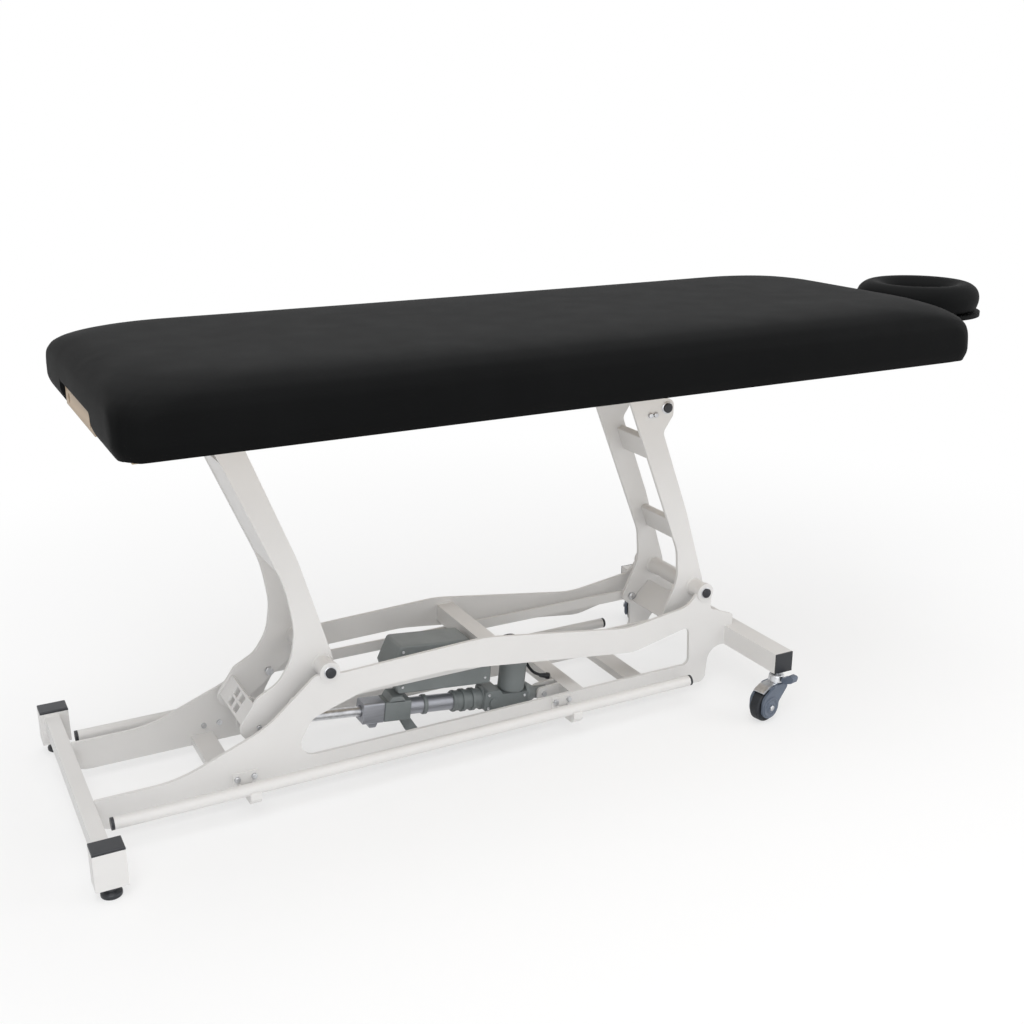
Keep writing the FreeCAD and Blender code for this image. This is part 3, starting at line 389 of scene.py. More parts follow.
class Finish:
    """A material whose tone, gloss and relief follow patterns on the object's own coordinates."""

    def __init__(self, name, value, roughness=0.5, metallic=0.0, specular=0.5):
        self.material = bpy.data.materials.new(name)
        self.material.use_nodes = True
        self.value = value
        self.tree = self.material.node_tree
        self.shader = self.tree.nodes["Principled BSDF"]
        for socket, level in (("Roughness", roughness), ("Metallic", metallic), ("Specular IOR Level", specular)):
            self.shader.inputs[socket].default_value = level
        self.place = add(self.tree, "ShaderNodeTexCoord").outputs["Object"]

    def stretched(self, scale):
        return add(self.tree, "ShaderNodeMapping", Vector=self.place, Scale=scale).outputs["Vector"]

    def noise(self, scale, detail=2.0, roughness=0.5, place=None):
        return add(self.tree, "ShaderNodeTexNoise", Vector=place or self.place, Scale=scale, Detail=detail,
                   Roughness=roughness).outputs["Fac"]

    def tone(self, factor, *stops):
        """Base colour by a ramp through stops of (position, share of the finish's colour)."""
        item = add(self.tree, "ShaderNodeValToRGB", Fac=factor)
        elements = item.color_ramp.elements
        while len(elements) < len(stops):
            elements.new(0.5)
        for element, (position, share) in zip(elements, stops):
            element.position = position
            element.color = (*shade(self.value, share), 1)
        feed(self.tree, self.shader.inputs["Base Color"], item.outputs["Color"])

    def gloss(self, factor, low, high):
        item = add(self.tree, "ShaderNodeMapRange", Value=factor, To_Min=low, To_Max=high)
        feed(self.tree, self.shader.inputs["Roughness"], item.outputs["Result"])

    def relief(self, height, depth, strength, **more):
        item = add(self.tree, "ShaderNodeBump", Height=height, Distance=depth * MM, Strength=strength, **more)
        feed(self.tree, self.shader.inputs["Normal"], item.outputs["Normal"])
        return item


def powder_coat(value):
    """Satin powder coat: a fine orange peel, and faint uneven gloss and tone."""
    coat = Finish("white_powder_coat", value, 0.36)
    coat.tone(coat.noise(6, 4), (0.3, 0.965), (0.7, 1))
    coat.gloss(coat.noise(35, 3), 0.30, 0.44)
    coat.relief(coat.noise(420), 0.12, 0.5)
    return coat.material


def vinyl(value, grain):
    """Upholstery vinyl: pebbled cells with soft valleys, finer pores in them, and rubbed gloss on broad areas."""
    cover = Finish("black_vinyl", value, 0.66, specular=0.07)
    wander = add(cover.tree, "ShaderNodeTexNoise", Vector=cover.place, Scale=120, Detail=2)
    moved = combine(cover.tree, "MULTIPLY_ADD", wander.outputs["Color"], [1.2 * MM] * 3, cover.place,
                    kind="ShaderNodeVectorMath")
    cells = add(cover.tree, "ShaderNodeTexVoronoi", {"feature": "SMOOTH_F1"}, Vector=moved, Scale=1 / grain,
                Smoothness=0.35).outputs["Distance"]
    cover.tone(cover.noise(9, 3), (0.35, 0.86), (0.7, 1.1))
    cover.gloss(cover.noise(14, 4), 0.61, 0.71)
    valleys = cover.relief(cells, 0.22, 0.55)
    valleys.invert = True
    cover.relief(cover.noise(2600), 0.03, 0.4, Normal=valleys.outputs["Normal"])
    return cover.material


def timber(name, value, along, figure):
    """Sawn wood: long streaks of darker fibre, broad growth bands and short pores, all stretched along the grain."""
    wood = Finish(name, value)
    run = wood.stretched([figure if axis == along else 1.0 for axis in range(3)])
    fibre = wood.noise(260, 4, 0.65, run)
    streaks = combine(wood.tree, "MULTIPLY_ADD", fibre, 0.45, wood.noise(26, 3, 0.55, run))
    wood.tone(streaks, (0.45, 0.62), (0.66, 0.95), (0.92, 1.18))
    wood.gloss(fibre, 0.42, 0.6)
    wood.relief(fibre, 0.15, 0.4)
    return wood.material


def moulded(name, value, roughness, grain):
    """Moulded plastic: spark-eroded grain, a faint flow of tone and uneven gloss."""
    shell = Finish(name, value, roughness)
    shell.tone(shell.noise(12, 3), (0.3, 0.9), (0.7, 1.08))
    shell.gloss(shell.noise(55, 3), roughness - 0.07, roughness + 0.07)
    shell.relief(shell.noise(1 / grain), 0.05, 0.6)
    return shell.material


def plated(value):
    """Zinc-plated steel: pale cloudy patches and fine turning marks."""
    steel = Finish("zinc_plate", value, 0.32, 1.0)
    steel.tone(steel.noise(90, 4), (0.3, 0.8), (0.7, 1.12))
    steel.gloss(steel.noise(240, 3), 0.24, 0.44)
    steel.relief(steel.noise(1500), 0.02, 0.4)
    return steel.material


def anodised(value):
    """Anodised tube: long fine drawing lines along the tube and a soft metallic sheen."""
    sleeve = Finish("anodised_tube", value, 0.42, 0.75)
    lines = sleeve.noise(900, 3, place=sleeve.stretched((0.02, 1.0, 1.0)))
    sleeve.tone(lines, (0.3, 0.88), (0.7, 1.08))
    sleeve.gloss(lines, 0.36, 0.5)
    sleeve.relief(lines, 0.02, 0.35)
    return sleeve.material


def rubber(name, value, roughness):
    """Rubber: matt, with fine speckle and dust in the low places."""
    tread = Finish(name, value, roughness, specular=0.35)
    tread.tone(tread.noise(45, 5), (0.4, 1), (0.75, 1.9))
    tread.relief(tread.noise(900, 3), 0.05, 0.5)
    return tread.material


def finishes():
    """All finishes by the name of their slot in the record."""
    scene = bpy.context.scene
    if "table_finishes_made" not in scene:
        look = scene.table_finishes
        made = {
            "white_paint": powder_coat(look.paint),
            "black_vinyl": vinyl(look.vinyl, scene.table_sizes.vinyl_grain),
            "beech": timber("beech", look.beech, 1, 0.06),
            "plywood": timber("birch_plywood", look.birch, 0, 0.05),
            "housing_grey": moulded("housing_plastic", look.housing, 0.48, 0.7 * MM),
            "silver_tube": anodised(look.sleeve),
            "bright_steel": plated(look.zinc),
            "black_plastic": moulded("cap_plastic", look.cap, 0.42, 0.9 * MM),
            "caster_grey": moulded("caster_plastic", look.caster, 0.38, 0.8 * MM),
            "wheel_tread": rubber("wheel_rubber", look.tread, 0.6),
            "black_lead": rubber("lead_sheath", shade(look.tread, 0.8), 0.5),
        }
        scene["table_finishes_made"] = {slot: material.name for slot, material in made.items()}
    return {slot: bpy.data.materials[name] for slot, name in scene["table_finishes_made"].items()}


class TABLE_OT_finishes(Operator):
    """Gives every solid of the table the finish of its slot, and the cradle's disc the cushion's vinyl"""

    bl_idname = "table.finishes"
    bl_label = "Finishes"

    covered = "cradle_plate"

    def execute(self, context):
        for part in frame["record"]["subparts"]:
            materials = frame["nodes"][part["node"]].data.materials
            materials.clear()
            slot = "black_vinyl" if part["node"] == self.covered else part["material_slot"]
            materials.append(finishes()[slot])
        return {"FINISHED"}


# Upholstery


def eased(value, low, high):
    """0 below low, 1 above high, and the smooth cubic 3t^2 - 2t^3 between."""
    t = np.clip((value - low) / (high - low), 0, 1)
    return t * t * (3 - 2 * t)


def rounded_outline(half_long, half_wide, corner, arc=14, run=40):
    """Points round a rectangle with round corners, as quarter circles of the corner radius about the corners of a
    smaller rectangle, joined by straight runs. Sizes are arrays, one value for each row."""
    turn = (np.arange(4)[:, None] * 90 + np.linspace(0, 90, arc)[None, :]) * math.pi / 180
    signs = np.array([(1, 1), (-1, 1), (-1, -1), (1, -1)])
    half = np.stack((half_long - corner, half_wide - corner), -1)[:, None, None, :]
    quarter = np.stack((np.cos(turn), np.sin(turn)), -1)
    corners = signs[:, None, :] * half + corner[:, None, None, None] * quarter
    ends = np.roll(corners[..., 0, :], -1, axis=-2)
    share = np.linspace(0, 1, run + 2)[1:-1, None]
    sides = corners[..., -1, None, :] * (1 - share) + ends[..., None, :] * share
    return np.concatenate((corners, sides), -2).reshape(len(half_long), -1, 2)


class PadForm:
    """The padded top's form: a rounded rectangle drawn in by an inset at each height. The crown follows
    z = widest + rise (1 - (1 - s / reach)^6)^0.36 over the inset s, with corners that grow rounder towards the
    middle, the side leans in a little towards the deck, and the cover wraps under the deck's edge."""

    corner_insets = np.array((0, 2, 8, 20, 42, 190)) * MM
    corner_radii = np.array((60, 68, 88, 124, 170, 190)) * MM
    under = np.array([(12, 0), (20, 0.6), (24, 6), (60, 7), (379, 7)]) * MM
    reach = 190 * MM
    lean = 15 * MM
    low_corner = 44 * MM
    widest_rise = 52 * MM
    foot_proud = 12 * MM
    head_proud = 14 * MM
    side_proud = 3 * MM
    held_below = 12 * MM
    free_above = 50 * MM
    least = 1 * MM

    def __init__(self):
        low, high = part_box("top_cushion")
        left = low.x - self.foot_proud
        right = high.x + self.head_proud
        self.middle = np.array(((left + right) / 2, (low.y + high.y) / 2))
        self.half_long = (right - left) / 2
        self.half_wide = (high.y - low.y) / 2 + self.side_proud
        self.low = low.z
        self.high = high.z
        self.widest = low.z + self.widest_rise

    def crown(self, inset):
        share = np.clip(1 - inset / self.reach, 0, 1)
        return self.widest + (self.high - self.widest) * (1 - share ** 6) ** 0.36

    def profile(self):
        """Rows of (inset, height, corner radius) from the middle of the top to the middle of the underside."""
        top = np.concatenate((np.linspace(self.half_wide - self.least, self.reach, 9),
                              self.reach * np.linspace(1, 0, 26)[1:] ** 2.2))
        top_rows = np.stack((top, self.crown(top), np.interp(top, self.corner_insets, self.corner_radii)), -1)
        drop = np.linspace(0, 1, 9)[1:]
        side_corner = self.corner_radii[0] + (self.low_corner - self.corner_radii[0]) * drop
        side_height = self.widest + (self.low - self.widest) * drop
        side_rows = np.stack((self.lean * drop ** 2, side_height, side_corner), -1)
        under_corner = np.full(len(self.under), self.low_corner)
        under_rows = np.stack((self.under[:, 0], self.low + self.under[:, 1], under_corner), -1)
        return np.concatenate((top_rows, side_rows, under_rows))

    def form(self, shrink):
        """The closed surface, drawn in all round above the held edge so that it can swell back out."""
        inset, height, corner = self.profile().T
        inset = np.minimum(inset + shrink * (1 - self.held(height)), self.half_wide - self.least)
        corner = np.minimum(corner, self.half_wide - inset)
        plan = rounded_outline(self.half_long - inset, self.half_wide - inset, corner)
        height = height - shrink * eased(height, self.widest, self.high)
        level = np.broadcast_to(height[:, None, None], (*plan.shape[:2], 1))
        points = np.concatenate((plan + self.middle, level), -1)
        return ended(points[::-1], *plan.shape[:2])

    def held(self, height):
        """1 along the stapled edge under the deck, and 0 where the cover is free."""
        return 1 - eased(height, self.low + self.held_below, self.low + self.free_above)

    def depth(self, points, corner):
        """How far each point lies inside a rectangle with round corners: the corner radius less the distance from
        the smaller rectangle of the corners' centres. Also gives the direction outward."""
        offset = points[:, :2] - self.middle
        past = np.abs(offset) - (np.array((self.half_long, self.half_wide)) - corner)
        outside = np.maximum(past, 0)
        reach = np.linalg.norm(outside, axis=1)
        flat = np.where((past[:, 0] > past[:, 1])[:, None], (1, 0), (0, 1))
        outward = np.where(reach[:, None] > 1e-9, outside / np.maximum(reach, 1e-9)[:, None], flat)
        return corner - np.where(reach > 0, reach, past.max(1)), outward * np.sign(offset)


def evaluated_mesh(piece):
    bpy.context.view_layer.update()
    return bpy.data.meshes.new_from_object(piece.evaluated_get(bpy.context.evaluated_depsgraph_get()))


def apply_modifiers(piece):
    piece.data = evaluated_mesh(piece)
    piece.modifiers.clear()


def vectors(mesh, field="co"):
    flat = np.empty(len(mesh.vertices) * 3, np.float32)
    mesh.vertices.foreach_get(field, flat)
    return flat.reshape(-1, 3).astype(float)


def set_coordinates(mesh, points):
    mesh.vertices.foreach_set("co", np.asarray(points, np.float32).ravel())
    mesh.update()


def evened(mesh, value, rounds):
    """Smooths a value on a mesh's points: each round moves it halfway to the mean of its neighbours."""
    pairs = np.empty(len(mesh.edges) * 2, np.int32)
    mesh.edges.foreach_get("vertices", pairs)
    first, second = pairs.reshape(-1, 2).T
    points = len(value)
    neighbours = np.bincount(first, minlength=points) + np.bincount(second, minlength=points)
    for number in range(rounds):
        total = np.bincount(first, value[second], points) + np.bincount(second, value[first], points)
        value = (value + total / neighbours) / 2
    return value


FRAMES = 20
PULL_ROUNDS = 60
PRESSURE = 4.0
STIFFNESS = 25


def swell_as_cloth(piece, start, normals, weights):
    """How far air pressure moves the cover outward, with the held points pinned."""
    scene = bpy.context.scene
    group = piece.vertex_groups.new(name="held")
    for level in (0.25, 0.5, 0.75, 1.0):
        group.add(np.flatnonzero(weights >= level - 0.125).tolist(), level, "REPLACE")
    cloth = piece.modifiers.new("stuffing", "CLOTH")
    cloth.settings.use_pressure = True
    cloth.settings.uniform_pressure_force = PRESSURE
    cloth.settings.tension_stiffness = STIFFNESS
    cloth.settings.compression_stiffness = STIFFNESS
    cloth.settings.bending_stiffness = 2
    cloth.settings.vertex_group_mass = "held"
    cloth.settings.effector_weights.gravity = 0
    cloth.collision_settings.use_collision = False
    cloth.point_cache.frame_end = FRAMES
    for number in range(1, FRAMES + 1):
        scene.frame_set(number)
    rise = ((vectors(evaluated_mesh(piece)) - start) * normals).sum(1)
    scene.frame_set(1)
    piece.modifiers.clear()
    piece.vertex_groups.clear()
    return rise


def blow_up(name, form, cell, swell, held):
    """Stuffs a closed cover: remeshes it on even cells, lets it swell as cloth, keeps the swelling outward and within
    its limit, pulls it taut by evening it out, and smooths the cover once by subdivision."""
    piece = make(name, [form])
    remesh = piece.modifiers.new("cells", "REMESH")
    remesh.mode = "VOXEL"
    remesh.voxel_size = cell
    apply_modifiers(piece)
    start = vectors(piece.data)
    normals = vectors(piece.data, "normal")
    weights = held(start)
    rise = swell_as_cloth(piece, start, normals, weights)
    rise = evened(piece.data, np.clip(rise, 0, swell), PULL_ROUNDS) * (1 - weights)
    set_coordinates(piece.data, start + normals * rise[:, None])
    finer = piece.modifiers.new("finer", "SUBSURF")
    finer.levels = finer.render_levels = 1
    apply_modifiers(piece)
    piece.data.polygons.foreach_set("use_smooth", np.ones(len(piece.data.polygons), bool))
    return piece


class TABLE_OT_padded_top(Operator):
    """Stuffs the padded top, draws its lower edge tight, fits it round the wooden rails and tucks each corner"""

    bl_idname = "table.padded_top"
    bl_label = "Padded top"

    shrink_share = 0.7
    rail_gap = 4 * MM
    tuck_depth = 2.2 * MM
    tuck_width = 7 * MM

    def execute(self, context):
        sizes = context.scene.table_sizes
        pad = PadForm()
        piece = blow_up("top_pad", pad.form(sizes.pad_swell * self.shrink_share), sizes.pad_cell, sizes.pad_swell,
                        lambda points: pad.held(points[:, 2]))
        points = vectors(piece.data)
        self.draw_tight(points, pad)
        self.press_round_rails(points, pad)
        self.tuck_corners(points, pad)
        set_coordinates(piece.data, points)
        settle(piece, "black_vinyl", "top", "top_cushion")
        return {"FINISHED"}

    def draw_tight(self, points, pad):
        """Sets the stapled edge: points near the lower outline move out onto it, and those just above the underside
        move down to it, both fading out with height and with distance inward."""
        rise = points[:, 2] - pad.low
        drop = np.clip((pad.widest - points[:, 2]) / (pad.widest - pad.low), 0, 1)
        depth, outward = pad.depth(points, pad.low_corner + pad.lean)
        slack = depth - pad.lean * drop ** 2
        hold = (1 - eased(rise, 10 * MM, 40 * MM)) * (1 - eased(slack, 5 * MM, 9 * MM))
        points[:, :2] += outward * (slack * hold)[:, None]
        low = (1 - eased(rise, 3 * MM, 6 * MM)) * (1 - eased(depth, 12 * MM, 22 * MM))
        points[:, 2] -= rise * low

    def press_round_rails(self, points, pad):
        """Keeps the cover behind the faces of both rails, with a soft roll round their edges, and its underside
        above them."""
        low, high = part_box("end_rails")
        near = 1 - eased(np.abs(points[:, 1]), high.y - 2 * MM, high.y + 9 * MM)
        level = 1 - eased(points[:, 2], high.z - 2 * MM, high.z + 10 * MM)
        for end, inward in ((low.x, 1), (high.x, -1)):
            depth = (points[:, 0] - end) * inward
            back = np.maximum(self.rail_gap - depth, 0)
            points[:, 0] += np.where(depth < 60 * MM, inward * back * near * level, 0)
            lift = np.maximum(0, pad.low + 8 * MM - points[:, 2])
            points[:, 2] += np.where(depth < 130 * MM, lift * near, 0)

    def tuck_corners(self, points, pad):
        """A shallow valley down each corner, deepest at the shoulder, of the form exp(-(d / width)^2)."""
        inward = np.sign(pad.middle - points[:, :2]) / math.sqrt(2)
        offset = np.abs(points[:, :2] - pad.middle) - np.array((pad.half_long, pad.half_wide))
        diagonal = (offset[:, 0] - offset[:, 1]) / math.sqrt(2)
        corner = eased(offset.min(1), -75 * MM, -30 * MM)
        above = eased(points[:, 2], pad.low + 4 * MM, pad.low + 40 * MM)
        below = 1 - eased(points[:, 2], pad.high - 12 * MM, pad.high - 3 * MM)
        depth = self.tuck_depth * np.exp(-(diagonal / self.tuck_width) ** 2) * corner * above * below
        points[:, :2] += inward * depth[:, None]


class TABLE_OT_face_cushion(Operator):
    """Stuffs the ring of the face cradle"""

    bl_idname = "table.face_cushion"
    bl_label = "Face cushion"

    shrink_share = 0.6
    hole = 66 * MM
    nearer = 7 * MM
    smaller = 7 * MM

    def execute(self, context):
        sizes = context.scene.table_sizes
        low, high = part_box("cradle_cushion")
        centre = ((low.x + high.x) / 2 - self.nearer, (low.y + high.y) / 2, low.z)
        outer = (high.x - low.x) / 2 - self.smaller
        section = self.section(outer, high.z - low.z, sizes.cradle_swell * self.shrink_share)
        piece = blow_up("face_cushion", revolve(section / MM, centre, (0, 0, 1), 120, hollow=True),
                        sizes.cradle_cell, sizes.cradle_swell,
                        lambda points: 1 - eased(points[:, 2], low.z + 3 * MM, low.z + 22 * MM))
        settle(piece, "black_vinyl", "cradle_head", "cradle_cushion")
        return {"FINISHED"}

    def section(self, outer, tall, shrink):
        """The ring's section as (radius, height): a flat foot, a full outer side, a crown and a long slope down to
        the face hole, as a closed smooth run drawn in by the shrink."""
        hole = self.hole
        corners = np.array([
            (hole + 6 * MM, 0), (outer - 16 * MM, 0), (outer - 4 * MM, 12 * MM), (outer, 36 * MM),
            (outer - 8 * MM, tall - 16 * MM), (outer - 28 * MM, tall - 2 * MM), (outer - 46 * MM, tall),
            (hole + 30 * MM, tall - 4 * MM), (hole + 8 * MM, tall - 20 * MM), (hole, tall - 42 * MM),
            (hole, 14 * MM),
        ])
        run = smooth_run(np.concatenate((corners[-2:], corners, corners[:2])), 5 * MM)
        gap = np.linalg.norm(run - corners[0], axis=1)
        loop = run[np.argmin(gap):len(run) - 1 - np.argmin(gap[::-1])]
        away = loop - loop.mean(0)
        drawn = loop - away / np.linalg.norm(away, axis=1, keepdims=True) * shrink
        drawn[:, 1] = np.maximum(drawn[:, 1], 0)
        return drawn[::-1]


# Fittings


class TABLE_OT_welds(Operator):
    """Lays rippled weld beads where tubes and plates of the frame, the legs and the underframe meet"""

    bl_idname = "table.welds"
    bl_label = "Welds"

    boss_rise = 4 * MM
    beam_depth = 38 * MM
    taper_run = 6 * MM

    def bead(self, path):
        """A tube whose radius swells and narrows as 1 + 0.14 cos(2 pi s / ripple) along its run s, and tapers at both
        ends."""
        sizes = bpy.context.scene.table_sizes
        run = np.concatenate(([0], np.cumsum(np.linalg.norm(np.diff(path, axis=0), axis=1))))
        radius = sizes.weld * (1 + 0.14 * np.cos(TURN * run / sizes.weld_ripple))
        taper = eased(run, 0, self.taper_run) * eased(run[-1] - run, 0, self.taper_run)
        return tube(path, radius * (0.35 + 0.65 * taper))

    def around_tube(self, low, high, plane):
        """Four beads round the end of a tube, given by the corners of its box, that butts on a plane of one Y."""
        corners = [(low.x, plane, low.z), (high.x, plane, low.z), (high.x, plane, high.z), (low.x, plane, high.z)]
        return [self.bead(line(a, b, self.step)) for a, b in zip(corners, corners[1:] + corners[:1])]

    def execute(self, context):
        self.step = context.scene.table_sizes.weld_ripple / 3
        beam_low, beam_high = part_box("actuator_mount")
        beam_low.x = beam_high.x - self.beam_depth
        low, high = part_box("foot_crossbar")
        beads = []
        for side, out in SIDES:
            inner = face("side_frame_" + side, -out)
            outer = face("side_frame_" + side, out) - out * self.boss_rise
            beads += self.around_tube(*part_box("upper_cross_tube"), inner)
            beads += self.around_tube(beam_low, beam_high, inner)
            beads += self.around_tube(low, high, face("foot_post_" + side, -out))
            beads += [self.bead(line((high.x, edge, low.z), (high.x, edge, high.z), self.step))
                      for edge in (inner, outer)]
        make("frame_welds", beads, "white_paint", "base")
        for leg in ("foot_leg", "head_leg"):
            hub_low, hub_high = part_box(leg + "_hub")
            x, y, z = middle(leg + "_hub")
            radius = (hub_high.x - hub_low.x) / 2
            rings = [self.bead(circle((x, face(f"{leg}_{side}", edge), z), (0, 1, 0), radius, self.step))
                     for side, out in SIDES for edge in (-1, 1)]
            make(leg + "_welds", rings, "white_paint", leg)
        return {"FINISHED"}


class TABLE_OT_legs(Operator):
    """Cuts the foot leg's plates, back and crank, and the head leg's rungs, to the curves of the real ones"""

    bl_idname = "table.legs"
    bl_label = "Legs"

    # Millimetres along and up from the leg's lower pivot, and a corner's radius
    foot_plate = (
        (-206, 509, 27), (-152, 529, 27), (-40, 235, 300), (28, -2, 40), (8, -34, 26), (-155, -155, 26),
        (-188, -112, 26), (-142, -48, 20), (-96, -24, 60), (-66, 20, 100), (-55, 85, 150), (-69, 180, 300),
        (-173, 435, 300),
    )
    back = ((-81, 213, 0), (-178.5, 452, 0), (-173, 454.3, 0), (-75.5, 215.3, 0))
    cheek = ((-176, -103, 0), (-147, -63, 6), (-112, -84, 20), (-124, -141, 20), (-174, -141, 20))
    floor = ((-178, -104), (-148, -64))
    rungs = (
        ((-101, 315, 3), (-84, 321.5, 3), (-106, 377, 3), (-123, 370, 3)),
        ((-26, 108, 3), (-10, 113, 3), (-31, 168, 3), (-47, 162, 3)),
        ((-10.8, -41.8, 0), (-14.9, -37.4, 0), (-64.5, -84, 0), (-60.4, -88.4, 0)),
    )
    # Millimetres across from the rod eye's middle where each cheek starts, and up and across to each window
    cheek_starts = (-21.5, 15.5)
    cheek_thick = 6
    floor_thick = 4.5
    window_spots = ((14, -20), (14, 16), (36, -20), (36, 16))

    def execute(self, context):
        foot = self.plane("lift")
        head = self.plane("head_leg_swing")
        inner = face("foot_leg_far", -1)
        for side, out in SIDES:
            node = "foot_leg_" + side
            plate = slab([bend(self.foot_plate)], foot, -face(node, 1), -face(node, -1))
            make_plates("foot_plate_" + side, [plate], "white_paint", "foot_leg", node)
        back = slab([bend(self.back)], foot, -inner, inner)
        make_plates("foot_leg_back", [back], "white_paint", "foot_leg", "foot_leg_web")
        make_plates("crank", self.crank(foot, inner), "white_paint", "foot_leg", "crank_yoke")
        rungs = [slab([bend(rung)], head, -inner, inner) for rung in self.rungs]
        make_plates("head_leg_steps", rungs, "white_paint", "head_leg", "head_leg_rungs")
        return {"FINISHED"}

    def plane(self, joint):
        return pivot(joint) * (1, 0, 1), (1, 0, 0), (0, 0, 1)

    def crank(self, foot, inner):
        """Two cheeks either side of the drive's rod eye, under a floor plate with two rows of windows."""
        eye = middle("actuator_rod_eye")[1]
        cheeks = [slab([bend(self.cheek)], foot, start * MM - eye, (start + self.cheek_thick) * MM - eye)
                  for start in self.cheek_starts]
        start, end = (np.array((along, 0, up)) for along, up in self.floor)
        run = np.linalg.norm(end - start)
        floor = foot[0] + start * MM, (end - start) / run, (0, 1, 0)
        wide = inner / MM
        windows = [(up - 8, up + 8, across - 13, across + 13, 2) for up, across in self.window_spots]
        loops = [bend(((a, c, radius), (b, c, radius), (b, d, radius), (a, d, radius)))
                 for a, b, c, d, radius in ((0, run, -wide, wide, 0), *windows)]
        return [*cheeks, slab(loops, floor, -self.floor_thick * MM, 0)]


class TABLE_OT_bolts(Operator):
    """Puts hexagon heads, washers and domed caps on the bolts and pivots"""

    bl_idname = "table.bolts"
    bl_label = "Bolts and caps"

    # Millimetres along and up from a leg's lower pivot, and a head's width across its flats
    leg_bolt = (-66, -72)
    rod_bolt = (-150, -117)
    plate_bolts = {"foot_leg": ((-142, -113, 10),), "head_leg": ((-143, 440, 11), (-129, 440, 11))}
    # Millimetres in from the ends and the top of the treadle brackets, and either way from a bracket's middle
    bracket_middle = 26
    bracket_top = 12
    bracket_shift = 52 / 3
    # A washer's or a cap's radius and height, and a head's width across its flats and height, in millimetres
    pivot_washer = (13.5, 1.2)
    pivot_cap = (11.4, 3.2)
    stop_washer = (14.5, 1.5)
    stop_cap = (11.4, 3)
    tie_head = (17, 6)
    tie_nut = (17, 7)
    rod_head = (21, 8)
    bracket_head = (11.5, 5.2)
    plate_head_tall = 5.2
    # Distances outward from a face or a middle
    pivot_cap_out = 4.6 * MM
    stop_cap_out = -0.4 * MM
    stop_washer_out = -5 * MM
    tie_head_out = 0.4 * MM
    rod_head_out = 21.5 * MM
    bracket_head_out = 12 * MM

    def washer(self, centre, out, radius, thick):
        """A disc, in millimetres, chamfered by three tenths of its thickness."""
        chamfer = thick * 0.3
        rows = [(radius - chamfer, 0), (radius, chamfer), (radius, thick - chamfer), (radius - chamfer, thick)]
        return revolve(rows, centre, (0, out, 0), 36)

    def dome(self, centre, out, radius, rise):
        """A shallow cap, in millimetres: r = R sin a, h = rise cos a, above a small step at its rim."""
        step = 0.8
        angle = np.linspace(math.pi / 2, 0.06, 9)[1:]
        crown = np.stack((radius * np.sin(angle), step + rise * np.cos(angle)), -1)
        return revolve([(radius * 0.98, 0), (radius, step), *crown], centre, (0, out, 0))

    def from_pivot(self, joint, offset, level):
        """A point at millimetres along and up from a leg's lower pivot, on one level across the table."""
        x, y, z = pivot(joint)
        return x + offset[0] * MM, level, z + offset[1] * MM

    def execute(self, context):
        caps = []
        washers = []
        stops = []
        rims = []
        for side, out in SIDES:
            level = face("side_frame_" + side, out)
            for joint in ("lift", "head_leg_swing"):
                x, y, z = pivot(joint)
                washers.append(self.washer((x, level, z), out, *self.pivot_washer))
                caps.append(self.dome((x, level + out * self.pivot_cap_out, z), out, *self.pivot_cap))
            level = face("head_leg_caps", out)
            x, y, z = middle("head_leg_caps")
            stops.append(self.dome((x, level + out * self.stop_cap_out, z), out, *self.stop_cap))
            rims.append(self.washer((x, level + out * self.stop_washer_out, z), out, *self.stop_washer))
        make("pivot_cap_domes", caps, "black_plastic", "base")
        make("pivot_washers", washers, "bright_steel", "base")
        make("stop_cap_domes", stops, "black_plastic", "head_leg")
        make("stop_washers", rims, "bright_steel", "head_leg")
        for leg, joint in (("foot_leg", "lift"), ("head_leg", "head_leg_swing")):
            make(leg + "_hex_heads", self.leg_heads(leg, joint), "bright_steel", leg)
        make("crank_hex_heads", self.crank_heads(), "bright_steel", "foot_leg")
        make("bracket_hex_heads", self.bracket_heads(), "bright_steel", "base")
        return {"FINISHED"}

    def leg_heads(self, leg, joint):
        """The tie bar's bolt, with a head outside the bar and one inside the plate, and the plate's own bolts."""
        heads = []
        for side, out in SIDES:
            node = f"{leg}_{side}"
            tie = self.from_pivot(joint, self.leg_bolt, face("tie_bar_" + side, out) + out * self.tie_head_out)
            inside = self.from_pivot(joint, self.leg_bolt, face(node, -out))
            heads.append(hexagon(tie, (0, out, 0), *self.tie_head))
            heads.append(hexagon(inside, (0, -out, 0), *self.tie_nut))
            for *offset, flats in self.plate_bolts[leg]:
                spot = self.from_pivot(joint, offset, face(node, out))
                heads.append(hexagon(spot, (0, out, 0), flats, self.plate_head_tall))
        return heads

    def crank_heads(self):
        """The head and the nut of the bolt that the drive's rod eye turns on, outside the crank's two cheeks."""
        eye = middle("actuator_rod_eye")[1]
        spots = [self.from_pivot("lift", self.rod_bolt, eye + out * self.rod_head_out) for side, out in SIDES]
        return [hexagon(spot, (0, out, 0), *self.rod_head) for spot, (side, out) in zip(spots, SIDES)]

    def bracket_heads(self):
        """Hexagon heads over the round bolt heads on the treadle brackets' plates."""
        low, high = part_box("foot_bar_brackets")
        inset = self.bracket_middle * MM
        heads = []
        for side, out in SIDES:
            level = face("side_frame_" + side, -out) + out * self.bracket_head_out
            for along in (low.x + inset, high.x - inset):
                for shift in (-self.bracket_shift, self.bracket_shift):
                    spot = (along + shift * MM, level, high.z - self.bracket_top * MM)
                    heads.append(hexagon(spot, (0, out, 0), *self.bracket_head))
        return heads


